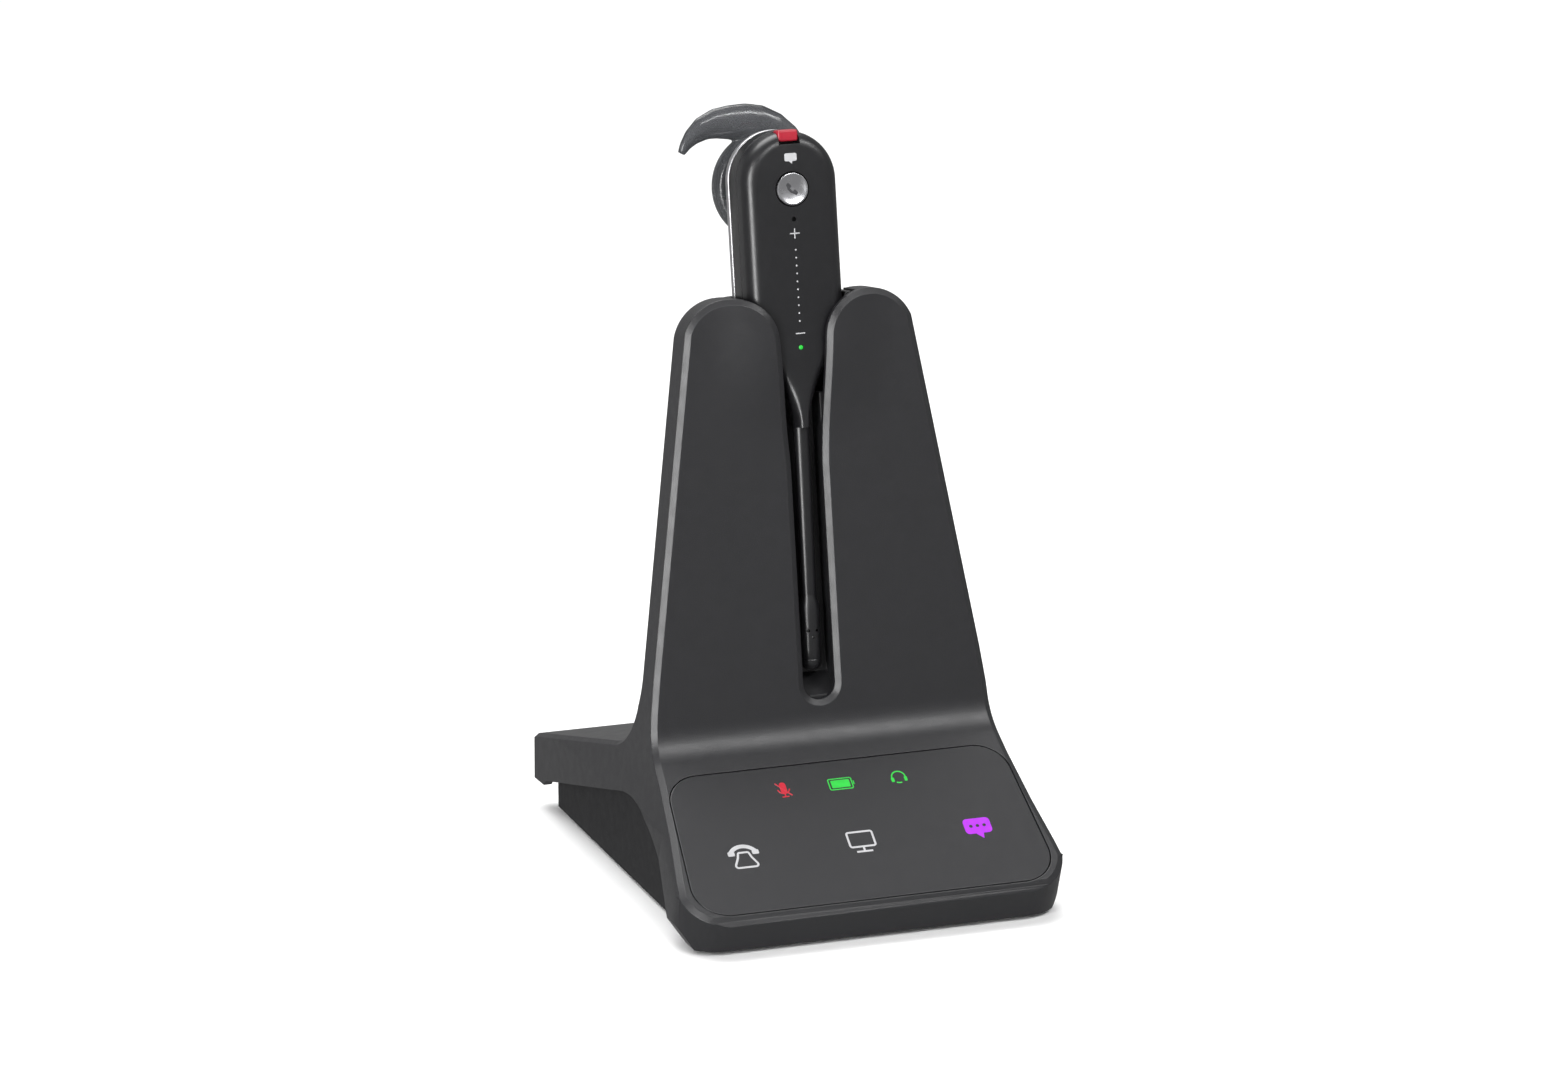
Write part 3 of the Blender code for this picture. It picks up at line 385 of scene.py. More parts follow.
def boolean(obj, other, operation="DIFFERENCE"):
    modifier = obj.modifiers.new(operation.lower(), "BOOLEAN")
    modifier.operation = operation
    modifier.object = other
    modifier.solver = "EXACT"
    other.hide_render = True


def bevel(obj, width, segments):
    modifier = obj.modifiers.new("bevel", "BEVEL")
    modifier.width = width
    modifier.segments = segments
    modifier.limit_method = "ANGLE"
    modifier.angle_limit = radians(28.0)
    modifier.use_clamp_overlap = False
    modifier.miter_outer = "MITER_ARC"
    return obj


def baked(obj):
    """The object's evaluated mesh; the object and its cutters go away."""
    bpy.context.view_layer.update()
    mesh = bpy.data.meshes.new_from_object(obj.evaluated_get(bpy.context.evaluated_depsgraph_get()))
    for modifier in obj.modifiers:
        if modifier.type == "BOOLEAN":
            bpy.data.objects.remove(modifier.object, do_unlink=True)
    bpy.data.objects.remove(obj, do_unlink=True)
    return mesh


def piece(name, obj, finish, body, replaces=(), sharp=None):
    """Bakes the work object, scales it to metres and links it into the scene under its body. Edges over the
    sharp angle stay sharp; without one, the normals are weighted by the faces' areas."""
    if sharp is None:
        weigh = obj.modifiers.new("weigh", "WEIGHTED_NORMAL")
        weigh.keep_sharp = True
        obj.data.shade_smooth()
    mesh = baked(obj)
    mesh.transform(Matrix.Scale(MM, 4))
    mesh.name = name
    mesh.materials.clear()
    mesh.materials.append(finish)
    if sharp is not None:
        mesh.shade_smooth()
        mesh.set_sharp_from_angle(angle=radians(sharp))
    made = bpy.data.objects.new(name, mesh)
    bpy.context.scene.collection.objects.link(made)
    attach(made, body)
    if replaces:
        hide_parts(*replaces)


# ------------------------------------------------------------------ camera, light and floor, in metres
AZIMUTH, ELEVATION, ROLL = 19.32, 15.57, -0.21
LENS = 143.92
TARGET = Vector((-10.53, -20.25, 83.27)) * MM
DISTANCE = 1.39805
LIT_POINT = (0.0, 0.0, 0.08)
FLOOR_HALF = 3.0


def make_camera():
    az, el, roll = radians(AZIMUTH), radians(ELEVATION), radians(ROLL)
    back = Vector((-sin(az) * cos(el), -cos(az) * cos(el), sin(el)))
    right = Vector((cos(az), -sin(az), 0.0))
    up = back.cross(right)
    across = right * cos(roll) + up * sin(roll)
    above = up * cos(roll) - right * sin(roll)
    data = bpy.data.cameras.new("camera")
    data.lens = LENS
    data.sensor_width = 36.0
    data.clip_start = 0.05
    camera = bpy.data.objects.new("camera", data)
    bpy.context.scene.collection.objects.link(camera)
    turn = Matrix((across, above, back)).transposed().to_4x4()
    camera.matrix_world = Matrix.Translation(TARGET + back * DISTANCE) @ turn
    bpy.context.scene.camera = camera


def area_light(name, location, size, power):
    """A white rectangle that faces the middle of the stand."""
    data = bpy.data.lights.new(name, "AREA")
    data.shape = "RECTANGLE"
    data.size, data.size_y = size
    data.energy = power
    light = bpy.data.objects.new(name, data)
    bpy.context.scene.collection.objects.link(light)
    light.location = location
    light.rotation_euler = (Vector(LIT_POINT) - Vector(location)).to_track_quat("-Z", "Y").to_euler()


def make_studio():
    world = bpy.data.worlds.new("studio")
    bpy.context.scene.world = world
    world.use_nodes = True
    background = world.node_tree.nodes["Background"]
    background.inputs["Color"].default_value = (1.0, 1.0, 1.0, 1.0)
    background.inputs["Strength"].default_value = 0.32
    sun = bpy.data.lights.new("high_sun", "SUN")
    sun.energy = 2.5
    sun.angle = radians(50.0)
    high = bpy.data.objects.new("high_sun", sun)
    high.rotation_euler = (radians(-22.0), radians(-8.0), 0.0)
    bpy.context.scene.collection.objects.link(high)
    area_light("left_strip", (-0.66, -0.64, 0.14), (0.26, 0.9), 13.0)    # for the chamfers that face left
    area_light("crease_strip", (0.30, -0.61, 0.76), (1.0, 0.12), 6.0)    # for the band along the crease
    area_light("top_soft", (0.0, 0.35, 0.9), (1.0, 0.5), 4.0)
    solid = bmesh.new()
    bmesh.ops.create_grid(solid, x_segments=1, y_segments=1, size=FLOOR_HALF)
    floor = from_bmesh(solid, Matrix.Identity(4))
    floor.name = "floor"
    floor.data.materials.append(material("floor_pale", (0.86, 0.86, 0.86), 0.7, mottling=0.01))
    floor.visible_glossy = False    # the dark sides would mirror it at their flat angle to the camera
    bpy.context.scene.view_settings.view_transform = "Standard"


# ------------------------------------------------------------------ stand
def arm_point(drop):
    return (ARM_END[0], ARM_END[1] - drop)


def side_profile():
    face_crease = meet(lean_point(0, FACE), 90 - LEAN, panel_point(0, FACE), SLOPE)
    back_crease = meet(lean_point(0, -MAST_DEPTH), 90 - LEAN, arm_point(0), -ARM_FALL)
    arch_peak = meet(ARCH_REAR, -ARCH_FALL, ARCH_FRONT, ARCH_RISE)
    front_end = meet(ARCH_FRONT, ARCH_RISE, (0, 0), 0)
    return rounded([
        (FRONT_FOOT_Y, 0.0), FRONT_LIP, panel_point(PANEL_LENGTH, FACE), (*face_crease, 12.0),
        lean_point(MAST_TOP, FACE), lean_point(MAST_TOP, -MAST_DEPTH), (*back_crease, 19.0), arm_point(0),
        (REAR_Y, REAR_TOP_Z), (REAR_Y, REAR_BOTTOM_Z), (74.0, REAR_BOTTOM_Z + 0.3), (72.4, 7.2),
        (*arch_peak, 31.0), front_end], 4.0)


def cavity_profile():
    """The hollow inside of the shell; it runs out through the bottom."""
    below = -6.0
    face_crease = meet(lean_point(0, FACE - WALL), 90 - LEAN, panel_point(0, FACE - PANEL_SKIN), SLOPE)
    back_crease = meet(lean_point(0, WALL - MAST_DEPTH), 90 - LEAN, arm_point(WALL), -ARM_FALL)
    return rounded([
        (FRONT_FOOT_Y + WALL, below), (FRONT_FOOT_Y + WALL, 1.5), panel_point(47.0, FACE - PANEL_SKIN),
        (*face_crease, 14.0), lean_point(MAST_TOP - 2.4, FACE - WALL),
        lean_point(MAST_TOP - 2.4, WALL - MAST_DEPTH), (*back_crease, 21.0), arm_point(WALL),
        (REAR_Y - WALL, 14.6), (REAR_Y - WALL, below)])


def sides_outline(inset):
    return mirrored([(half - inset, z) for z, half in SIDES])


def corners_outline(inset):
    """Plan of the shell across its front wall's slant, with the rounded front corners."""
    low, side = FRONT_PLAN + inset, REAR_HALF - inset
    return rounded(mirrored([(FRONT_HALF - inset, low, FRONT_CORNER - inset), (side, -20.0),
                             (side, 200.0)]))


def above_lobes(lower):
    """Everything above and beside the lobes, and as much lower as told."""
    lobe_top = (LOBE_EDGE - lower, LOBE_TOP - lower, LOBE_ROUND - lower)
    return rounded(mirrored([lobe_top, (LOBE_SIDE[0] - lower, LOBE_SIDE[1]), (40.0, 70.0), (40.0, 130.0)]))


def slot_and_lobes():
    """The slot, its flare over the lobes' inner shoulders and everything above and beside the lobes."""
    slot = [(3.8, 7.8, 3.75), (3.8, 62.0, 60.0), (5.3, 86.0, 40.0), (6.2, LOBE_TOP, 10.5)]
    outside = [(LOBE_EDGE, LOBE_TOP, LOBE_ROUND), LOBE_SIDE, (40.0, 70.0), (40.0, 130.0)]
    return rounded(mirrored(slot + outside), 5.0)


def eased(share):
    """A smooth step from 0 to 1, held level outside."""
    held = min(1.0, max(0.0, share))
    return held * held * (3 - 2 * held)


def swell(x, along):
    """How far the lobes bulge forward beside the slot."""
    return SWELL * eased((23.0 - abs(x)) / 16.0) * eased((along - 66.0) / 24.0)


def swollen(mesh):
    """Cuts the lobes' faces into a fine grid and lets them bulge."""
    solid = bmesh.new()
    solid.from_mesh(mesh)
    to_mast = MAST.inverted()

    def lobes():
        faces = []
        for face in solid.faces:
            spots = [to_mast @ vert.co for vert in face.verts]
            if max(s.y for s in spots) > 62.0 and max(s.z for s in spots) > SWELL_FROM:
                faces.append(face)
        verts = {vert for face in faces for vert in face.verts}
        edges = {edge for face in faces for edge in face.edges}
        return list(verts) + list(edges) + faces

    cuts = [((x, 0.0, 0.0), (1.0, 0.0, 0.0)) for x in [-30 + 1.5 * i for i in range(41)]]
    cuts += [((0.0, along, 0.0), (0.0, 1.0, 0.0)) for along in [64 + 1.6 * i for i in range(24)]]
    for spot, normal in cuts:
        bmesh.ops.bisect_plane(solid, geom=lobes(), plane_co=MAST @ Vector(spot), dist=0.0005,
                               plane_no=MAST.to_3x3() @ Vector(normal))
    outward = MAST.to_3x3() @ Vector((0.0, 0.0, 1.0))
    for vert in solid.verts:
        spot = to_mast @ vert.co
        if spot.z > SWELL_FROM and spot.y > 60.0:
            vert.co += outward * swell(spot.x, spot.y)
    return mesh_of(solid)


def is_front(face):
    """The outer faces of the mast, the crease and the panel."""
    middle = face.calc_center_median()
    out = min((MAST.inverted() @ middle).z, (PANEL.inverted() @ middle).z)
    return abs(face.normal.x) < 0.05 and face.normal.y < -0.3 and out > 0.5 and middle.z > 12.0


def is_back(face):
    """The outer faces of the mast's back, and the rear leg's top."""
    middle = STAND.inverted() @ face.calc_center_median()
    fall = radians(ARM_FALL)
    above_leg = (middle.z - ARM_END[1]) * cos(fall) + (middle.y - ARM_END[0]) * sin(fall)
    behind = (MAST.inverted() @ face.calc_center_median()).z < COVER_BACK and above_leg > -0.3
    return abs(face.normal.x) < 0.05 and face.normal.y > 0.2 and behind and middle.y < REAR_Y - 0.3


def in_back_opening(point):
    """True for the borders of the openings in the mast's back, which stay square."""
    spot = MAST.inverted() @ point
    half = 9.0 if spot.y < 20.5 else 35.3 - (spot.y - 21.0) * 0.157
    in_cover = spot.z < -5.0 and 7.5 < spot.y < 93.2 and abs(spot.x) < half
    in_mouth = spot.y > 60.0 and abs(spot.x) < 14.2
    return in_cover or in_mouth


def chamfered(mesh, picks, width, depth, stays_square=None):
    """Chamfers the border of the picked faces: a strip whose inner edge lies on them and whose outer edge
    is sunk into the body. Where two picked faces meet, the inner edge slides along their common edge."""
    solid = bmesh.new()
    solid.from_mesh(mesh)
    bmesh.ops.remove_doubles(solid, verts=solid.verts, dist=0.02)
    chosen = [face for face in solid.faces if picks(face)]
    members = set(chosen)
    inward = {}
    for face in chosen:
        for corner in face.loops:
            if sum(other in members for other in corner.edge.link_faces) == 1:
                along = corner.link_loop_next.vert.co - corner.vert.co
                for vert in corner.edge.verts:
                    inward.setdefault(vert, []).append(face.normal.cross(along).normalized())
    places = []
    for vert, ways in inward.items():
        normal = sum((f.normal for f in vert.link_faces if f in members), Vector()).normalized()
        way = sum(ways, Vector()).normalized()
        reach = width / max(0.4, way.dot(ways[0]))
        inner_edges = [e for e in vert.link_edges if sum(f in members for f in e.link_faces) == 2]
        if inner_edges:
            line = (inner_edges[0].other_vert(vert).co - vert.co).normalized()
            way, reach = line, width / max(0.4, way.dot(line))
        cut = 0.0 if stays_square and stays_square(vert.co) else 1.0
        places.append((vert.co.copy(), vert.co + way * reach * cut, vert.co - normal * depth * cut))
    tree = KDTree(len(places))
    for index, place in enumerate(places):
        tree.insert(place[0], index)
    tree.balance()
    strip = bmesh.ops.inset_region(solid, faces=chosen, thickness=0.004)["faces"]
    inner = {vert for face in chosen for vert in face.verts}
    for vert in {vert for face in strip for vert in face.verts}:
        vert.co = places[tree.find(vert.co)[1]][1 if vert in inner else 2]
    bmesh.ops.remove_doubles(solid, verts=solid.verts, dist=0.002)
    return mesh_of(solid)


def make_shell():
    shell = prism(SIDE, side_profile(), -50.0, 50.0)
    boolean(shell, prism(FRONT, sides_outline(0.0), -100.0, 100.0), "INTERSECT")
    boolean(shell, prism(FRONT_WALL, corners_outline(0.0), -150.0, 150.0), "INTERSECT")
    boolean(shell, prism(MAST, slot_and_lobes(), -30.0, 20.0))
    cavity = prism(SIDE, cavity_profile(), -50.5, 50.5)
    boolean(cavity, prism(FRONT, sides_outline(WALL), -101.0, 101.0), "INTERSECT")
    boolean(cavity, prism(FRONT_WALL, corners_outline(WALL), -151.0, 151.0), "INTERSECT")
    boolean(cavity, prism(MAST, above_lobes(WALL), -31.0, 21.0))
    boolean(shell, temp_object(baked(cavity)))
    boolean(shell, box(MAST, (-13.9, 67.0, -30.0), (13.9, 130.0, -1.3)))
    boolean(shell, box(MAST, (-6.5, 5.4, -8.9), (6.5, 90.0, -1.25)))
    boolean(shell, prism(MAST, back_cover_outline(COVER_GAP), -40.0, -5.6))
    for x in PORTS_X:
        boolean(shell, prism(FRONT, rounded(corners_at(x, 4.75, PORT_Z, 1.9, 1.8)), -90.0, -70.0))
    shell = temp_object(chamfered(baked(shell), is_front, CHAMFER, FACE))
    boolean(shell, prism(PANEL, touch_outline(PANEL_GAP), FACE - 1.8, 10.0))
    boolean(shell, box(PANEL, (-34.0, -44.0, -6.0), (34.0, -12.0, 3.0)))
    shell = temp_object(swollen(chamfered(baked(shell), is_back, 1.0, 0.9, in_back_opening)))
    piece("stand_shell_fine", shell, SHELL, "stand", ["stand_shell"], sharp=25.0)


def touch_outline(grow):
    radius = 7.8 + grow
    return rounded(mirrored([(43.2 + grow, -47.6 - grow, radius), (40.2 + grow, -8.7 + grow, radius)]))


def back_cover_outline(grow):
    spine = 8.4 + grow
    return rounded(mirrored([(spine, 8.3 - grow), (spine, 19.0 - grow, 1.0), (34.8 + grow, 21.0 - grow, 2.0),
                             (23.6 + grow, 92.6 + grow, 4.0)]))


def make_cradle():
    cradle = box(MAST, (-6.2, 6.4, CHANNEL_BACK - 1.2), (6.2, 72.0, -1.6))
    sleeve = rounded(mirrored([(13.6, -15.1, 3.4), (13.6, -1.6, 0.5)]), 12.0)
    boolean(cradle, prism(MAST_UP, sleeve, 68.0, 99.8), "UNION")
    pocket = rounded(mirrored([(POCKET_HALF, -13.3, 2.2), (POCKET_HALF, 5.0)]), 12.0)
    boolean(cradle, prism(MAST_UP, pocket, POCKET_FLOOR, 120.0))
    for x in (-CONTACT_X, CONTACT_X):
        boolean(cradle, prism(MAST_UP, ring(0.85, x, CONTACT_OUT, 20), 71.0, 80.0))
    channel = [(8.0, 4.0), (8.0, -1.0), (13.3, CHANNEL_BACK), (110.0, CHANNEL_BACK), (110.0, 4.0)]
    boolean(cradle, prism(MAST_SIDE, channel, -4.6, 4.6))
    toe = [(2.0, -2.6), (7.4, -2.6), (13.4, CHANNEL_BACK - 2.0), (2.0, CHANNEL_BACK - 2.0)]
    boolean(cradle, prism(MAST_SIDE, toe, -9.0, 9.0))
    piece("cradle_fine", cradle, LINER, "stand", ["headset_cradle"], sharp=30.0)


def make_back_cover():
    cover = prism(MAST, back_cover_outline(0.0), COVER_BACK, -6.0)
    boolean(cover, prism(MAST, rounded(mirrored([(8.1, 8.6, 1.5), (8.1, 74.0)])), -10.6, -6.3), "UNION")
    boolean(cover, box(MAST, (-6.5, 9.9, -8.9), (6.5, 90.0, 3.0)))
    boolean(cover, box(MAST, (-13.8, 67.8, -30.0), (13.8, 120.0, 3.0)))
    piece("back_cover_fine", cover, SHELL, "stand", ["back_cover"], sharp=30.0)


def make_touch_panel():
    panel = bevel(prism(PANEL, touch_outline(0.0), FACE - 1.5, FACE), 0.22, 3)
    piece("touch_panel_fine", panel, TOUCH, "stand", ["touch_panel"])


# ------------------------------------------------------------------ glyphs
def stroke(name, matrix, lines, width, finish, body, height=0.05):
    """Flat printed lines; each line is a list of (x, y) points."""
    curve = bpy.data.curves.new(name, "CURVE")
    curve.dimensions = "3D"
    curve.bevel_depth = width / 2
    curve.bevel_resolution = 3
    curve.use_fill_caps = True
    for line in lines:
        closed = line[0] == line[-1]
        points = line[:-1] if closed else line
        spline = curve.splines.new("POLY")
        spline.points.add(len(points) - 1)
        spline.use_cyclic_u = closed
        for point, (x, y) in zip(spline.points, points):
            point.co = (x, y, 0.0, 1.0)
    mesh = baked(temp_object(curve))
    mesh.transform(Matrix.Diagonal((1.0, 1.0, height / width * 2, 1.0)))
    mesh.transform(matrix)
    piece(name, temp_object(mesh), finish, body, sharp=40.0)


def patch(name, matrix, outline, finish, body, height=0.04):
    """A flat printed area."""
    piece(name, prism(matrix, outline, -0.1, height), finish, body, sharp=30.0)


def panel_spot(x, down):
    return PANEL @ move(x, -down, FACE)


def make_button_icons():
    """Telephone, monitor and chat, in the panel's lower row."""
    down = 31.6
    left, middle, right = (panel_spot(x, down) for x in (-28.0, 0.0, 28.0))
    stroke("icon_phone_handset", left, [arc(0.0, -1.3, 3.5, 32, 148)], 1.0, WHITE_LIGHT, "stand")
    for side in (-1, 1):
        patch(f"icon_phone_ear_{side + 1}", left, rounded_box(side * 2.85, 0.35, 0.8, 0.6, 0.3),
              WHITE_LIGHT, "stand")
    body = loop(rounded([(-3.0, -3.6, 0.6), (-1.6, -0.9, 0.5), (-1.2, 0.5, 0.4), (1.2, 0.5, 0.4),
                         (1.6, -0.9, 0.5), (3.0, -3.6, 0.6)], 20.0))
    stroke("icon_phone_body", left, [body], 0.5, WHITE_LIGHT, "stand")
    screen = loop(rounded_box(0.0, 0.5, 3.0, 2.05, 0.5))
    stem, foot = [(0.0, -1.7), (0.0, -2.8)], [(-1.9, -2.9), (1.9, -2.9)]
    stroke("icon_monitor", middle, [screen, stem, foot], 0.5, WHITE_LIGHT, "stand")
    bubble = rounded([(-3.2, 2.6, 1.0), (-3.2, -1.6, 1.0), (-0.9, -1.6), (0.6, -3.1), (0.9, -1.6),
                      (3.2, -1.6, 1.0), (3.2, 2.6, 1.0)], 15.0)
    patch("icon_chat", right, bubble, PURPLE_LIGHT, "stand")
    for number in (-1, 0, 1):
        patch(f"icon_chat_dot_{number + 1}", right, ring(0.42, number * 1.6, 0.5, 16), TOUCH, "stand", 0.07)


def make_state_icons():
    """Muted microphone, battery and headset, in the panel's upper row."""
    down = 15.3
    left, middle, right = (panel_spot(x, down) for x in (-13.8, 0.0, 13.8))
    patch("icon_mute_mic", left, rounded_box(0.0, 0.6, 0.75, 1.5, 0.7), RED_LIGHT, "stand")
    holder, stem = arc(0.0, 0.4, 1.4, 190, 350), [(0.0, -1.0), (0.0, -1.9)]
    foot, strike = [(-0.8, -1.9), (0.8, -1.9)], [(-1.6, 2.0), (1.6, -1.7)]
    stroke("icon_mute_lines", left, [holder, stem, foot, strike], 0.3, RED_LIGHT, "stand", 0.08)
    patch("icon_battery", middle, rounded_box(-0.2, 0.0, 2.2, 1.05, 0.25), GREEN, "stand")
    case, pole = loop(rounded_box(-0.2, 0.0, 2.75, 1.5, 0.4)), [(2.95, 0.5), (2.95, -0.5)]
    stroke("icon_battery_case", middle, [case, pole], 0.26, GREEN, "stand")
    band, boom = arc(0.0, 0.1, 1.6, -20, 200, 20), arc(0.0, 0.1, 1.6, 240, 285, 8)
    stroke("icon_headset", right, [band, boom], 0.32, GREEN, "stand")
    for side in (-1, 1):
        patch(f"icon_headset_cup_{side + 1}", right, rounded_box(side * 1.55, -0.55, 0.36, 0.62, 0.25),
              GREEN, "stand")


# ------------------------------------------------------------------ headset
def body_outline(inset, foot=NECK_LOW):
    """Pill whose lower end narrows in a funnel to the boom."""
    half = BODY_HALF - inset
    angles = [pi * i / 48 for i in range(49)]
    top = [(half * cos(angle), TOP_CENTRE + half * sin(angle)) for angle in angles]
    right = [(half, along) for along in (112.0, 100.0, FUNNEL_TOP)]
    for number in range(1, 25):
        along = FUNNEL_TOP - (FUNNEL_TOP - foot) * number / 24
        share = max(0.0, (along - FUNNEL_FOOT) / (FUNNEL_TOP - FUNNEL_FOOT))
        width = NECK_HALF + (BODY_HALF - NECK_HALF) * share ** 1.55
        right.append((max(0.25, width - inset * min(1.0, width / 4.0)), along))
    return right[::-1] + top + [(-x, along) for x, along in right]


def body_loft(sections, foot=NECK_LOW):
    """The body's outline lofted through (out of the face, inset) pairs."""
    return loft(MAST, [[(x, along, out) for x, along in body_outline(inset, foot)]
                       for out, inset in sections])


def round_cutter(along, radius, low):
    return prism(MAST, ring(radius, 0.0, along), low, 4.0)


def make_front_housing():
    housing = body_loft([(-4.85, 0.25), (-4.7, 0.0), (-2.2, 0.0), (-1.5, 0.1), (-0.9, 0.32), (-0.4, 0.64),
                         (0.0, 1.02), (0.3, 1.42), (0.56, 1.92), (0.74, 2.46), (FACE, 3.1)])
    boolean(housing, round_cutter(CALL_AT, CALL_RADIUS + 0.25, -2.0))
    boolean(housing, round_cutter(MIC_HOLE_AT, 0.55, -0.5))
    boolean(housing, round_cutter(LIGHT_AT, 0.56, -0.4))
    boolean(housing, box(MAST, (-2.5, MUTE_LOW - 0.55, -4.2), (2.5, 140.0, 3.0)))
    piece("front_housing_fine", housing, BODY, "headset", ["headset_front_housing"],
          sharp=50.0)


def make_rear_housing():
    rear = body_loft([(-12.75, 2.4), (-12.5, 1.9), (-10.9, 1.8), (-10.3, 1.7), (-10.2, 0.5), (-10.0, 0.12),
                      (-9.6, 0.0), (-5.3, 0.0), (-5.1, 0.2)], REAR_FOOT)
    boolean(rear, round_cutter(CALL_AT, 6.6, -20.0))
    piece("rear_housing_fine", rear, BODY, "headset", ["headset_rear_housing"],
          sharp=40.0)


def make_rim():
    rim = prism(MAST, body_outline(0.0, 84.0), -12.8, -11.0)
    boolean(rim, prism(MAST, body_outline(1.5, 83.0), -20.0, 0.0))
    boolean(rim, box(MAST, (-20.0, 60.0, -20.0), (20.0, 86.0, 0.0)))
    bevel(rim, 0.4, 3)
    piece("rim_fine", rim, RIM, "headset", ["headset_rim"])


def boom_section(along, wide, deep, count=32):
    """An oval across the boom, whose middle sinks back towards its lower end."""
    share = (80.0 - along) / 66.0
    middle = -2.35 - 0.5 * share - 1.9 * share * share
    return [(wide * cos(2 * pi * i / count), along, middle + deep * sin(2 * pi * i / count))
            for i in range(count)]


def make_boom():
    places = [BOOM_TOP - 2.0 * i for i in range(25)]
    boom = loft(MAST, [boom_section(along, BOOM_HALF, BOOM_DEPTH) for along in places])
    piece("boom_fine", boom, BODY, "headset", ["boom_tube"], sharp=50.0)


def make_mic_capsule():
    steps = [(31.6, 1.66), (30.6, 1.85), (29.4, 2.25), (28.2, 2.4), (26.0, 2.42), (19.0, 2.42), (16.9, 2.42),
             (16.7, 2.28), (16.55, 2.28), (16.4, 2.4), (15.6, 2.3), (14.9, 2.0), (14.4, 1.5), (14.1, 0.8)]
    capsule = loft(MAST, [boom_section(along, wide, wide * 0.9) for along, wide in steps])
    for x, along in ((-1.0, 23.3), (1.0, 23.3), (0.0, 21.8)):
        boolean(capsule, prism(MAST, ring(0.36, x, along, 20), -4.2, 2.0))
    piece("mic_capsule_fine", capsule, BODY, "headset", ["mic_capsule"], sharp=40.0)


def make_call_button():
    """A dished metal button with a handset glyph."""
    dish = [(0.0, 0.7), (1.2, 0.74), (2.2, 0.88), (2.9, 1.1), (3.25, 1.27), (3.45, 1.31), (3.6, 1.26),
            (3.7, 1.1), (CALL_RADIUS, 0.85), (CALL_RADIUS, -1.2), (0.0, -1.2)]
    piece("call_button_fine", turned(EARPIECE, dish, 96), METAL, "call_button", ["call_button"],
          sharp=35.0)
    glyph_height = 0.79
    glyph = [(-0.95, 0.85), (-0.75, 0.05), (-0.2, -0.55), (0.7, -0.95)]
    stroke("call_glyph", EARPIECE @ move(0.0, 0.0, glyph_height), [glyph], 0.6, INK, "call_button")
    for number, (x, y) in enumerate(((-0.8, 0.78), (0.72, -0.78))):
        patch(f"call_glyph_end_{number}", EARPIECE @ move(x, y, glyph_height) @ tilt(-45.0, "Z"),
              rounded_box(0.0, 0.0, 0.6, 0.42, 0.24), INK, "call_button")


def make_mute_button():
    mute = bevel(box(MAST, (-MUTE_HALF, MUTE_LOW, -3.4), (MUTE_HALF, MUTE_TOP, -0.1)), 0.5, 4)
    piece("mute_button_fine", mute, RED, "mute_button", ["mute_button"])


def make_body_marks():
    """Volume scale, status light and chat glyph on the headset's face."""
    face = MAST @ move(0.0, 0.0, FACE)
    print_height = 0.03
    for number in range(10):
        patch(f"volume_dot_{number}", face, ring(0.2, 0.0, 110.3 - 1.79 * number, 14), PRINT, "headset",
              print_height)
    plus = [[(-1.15, 114.0), (1.15, 114.0)], [(0.0, 112.85), (0.0, 115.15)]]
    stroke("volume_plus", face, plus, 0.26, PRINT, "headset")
    stroke("volume_minus", face, [[(-1.1, 91.4), (1.1, 91.4)]], 0.26, PRINT, "headset")
    lens = [(0.0, FACE), (0.3, 0.82), (0.46, 0.7), (0.46, -0.3), (0.0, -0.3)]
    piece("status_lens_fine", turned(MAST @ move(0.0, LIGHT_AT, 0.0), lens, 24), GREEN, "headset",
          ["status_light_pipe"], sharp=40.0)
    bubble = rounded([(-1.45, 1.1, 0.4), (-1.45, -0.7, 0.4), (-0.4, -0.7), (0.25, -1.35), (0.4, -0.7),
                      (1.45, -0.7, 0.4), (1.45, 1.1, 0.4)], 20.0)
    patch("body_glyph", face @ move(0.0, 131.0, 0.0), bubble, PRINT, "headset", print_height)


# ------------------------------------------------------------------ ear gel
def make_gel_cup():
    return turned(EARPIECE, [
        (11.4, -15.3), (12.5, -16.4), (12.8, -18.0), (12.4, -19.6), (10.8, -21.2), (8.2, -22.8),
        (6.4, -24.4), (5.5, -27.0), (5.3, -28.2), (4.6, -28.9), (3.6, -28.5), (3.6, -22.8), (8.0, -19.2),
        (8.1, -15.3)], 72)


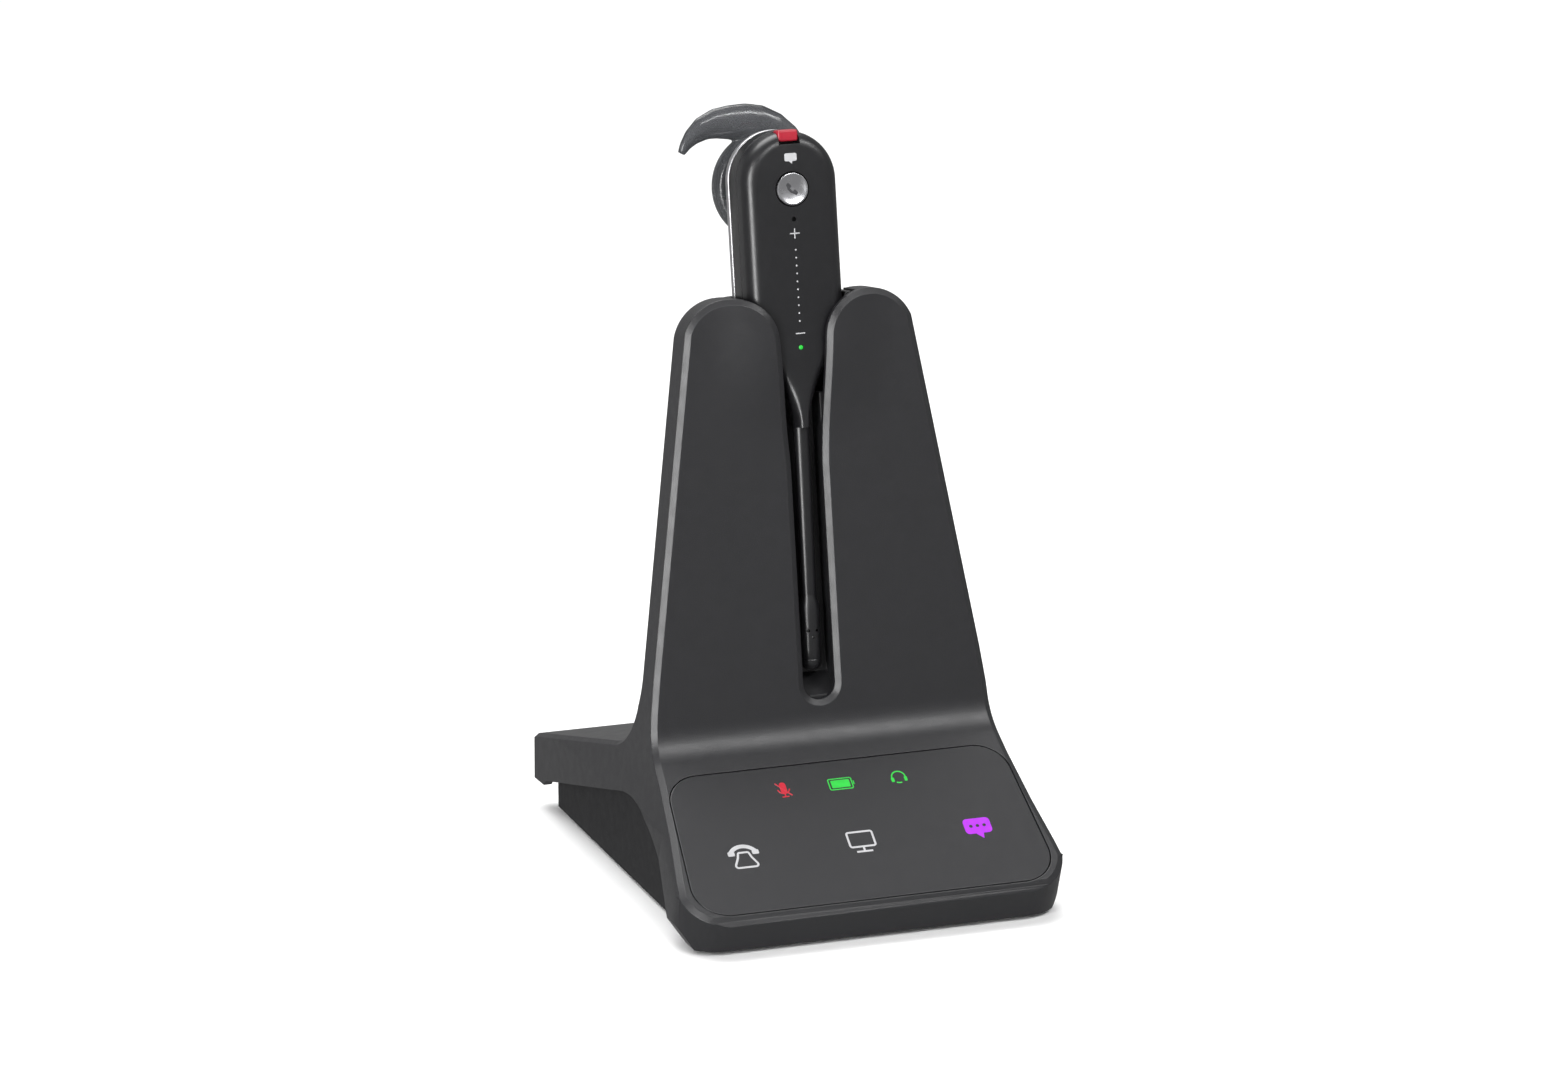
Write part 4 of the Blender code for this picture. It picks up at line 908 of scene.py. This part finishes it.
def make_gel_wing():
    """A tapering arm along a curved spine of (x, y, half width)."""
    spine = [(-19.8, 8.7, 0.95), (-18.9, 10.3, 1.35), (-17.2, 12.2, 2.0), (-14.6, 14.0, 2.8),
             (-11.4, 14.9, 3.5), (-8.0, 15.0, 4.0), (-4.5, 14.8, 4.4), (-1.0, 14.1, 4.5), (2.4, 12.6, 4.2),
             (5.4, 10.2, 3.8), (7.6, 7.4, 3.2)]
    loops = []
    for index, (x, y, half) in enumerate(spine):
        before, after = spine[max(0, index - 1)], spine[min(len(spine) - 1, index + 1)]
        way = Vector((after[0] - before[0], after[1] - before[1])).normalized()
        side = Vector((-way.y, way.x))
        deep = 0.55 + 0.38 * half
        turns = [2 * pi * i / 24 for i in range(24)]
        loops.append([(x + side.x * half * cos(turn), y + side.y * half * cos(turn),
                       GEL_MIDDLE + deep * sin(turn)) for turn in turns])
    return loft(EARPIECE, loops)


def make_ear_gel():
    """The cup and the wing as one soft piece, with the bore for the earpiece."""
    joined = bmesh.new()
    for part in (make_gel_cup(), make_gel_wing()):
        joined.from_mesh(baked(part))
    gel = from_bmesh(joined, Matrix.Identity(4))
    boolean(gel, turned(EARPIECE, [(0.0, -14.0), (7.9, -14.0), (7.9, -19.3), (3.6, -22.8), (3.6, -30.0),
                                   (0.0, -30.0)], 48))
    remesh = gel.modifiers.new("remesh", "REMESH")
    remesh.mode = "VOXEL"
    remesh.voxel_size = 0.38
    smooth = gel.modifiers.new("smooth", "SMOOTH")
    smooth.factor = 0.5
    smooth.iterations = 8
    piece("ear_gel_fine", gel, GEL, "ear_gel", ["ear_gel"], sharp=60.0)


# ------------------------------------------------------------------ materials of the CAD nodes
def finish_cad_nodes():
    by_slot = {"bottom_cover": COVER, "rubber": RUBBER, "light_guide": MILKY, "circuit_board": BOARD,
               "tinned_metal": TIN, "gold_contact": GOLD, "black_epoxy": EPOXY, "plated_steel": STEEL,
               "screw_steel": STEEL, "battery_foil": FOIL, "headset_plastic": BODY, "rim_satin": RIM,
               "stand_shell": SHELL, "cradle": LINER, "touch_panel": TOUCH, "spun_metal": METAL,
               "mute_red": RED, "status_green": GREEN, "smoked_gel": GEL}
    for part in frame["record"]["subparts"]:
        obj = frame["nodes"][part["node"]]
        obj.data.materials.clear()
        obj.data.materials.append(by_slot[part["material_slot"]])


make_camera()
make_studio()
finish_cad_nodes()
make_shell()
make_cradle()
make_back_cover()
make_touch_panel()
make_button_icons()
make_state_icons()
make_front_housing()
make_rear_housing()
make_rim()
make_boom()
make_mic_capsule()
make_call_button()
make_mute_button()
make_body_marks()
make_ear_gel()
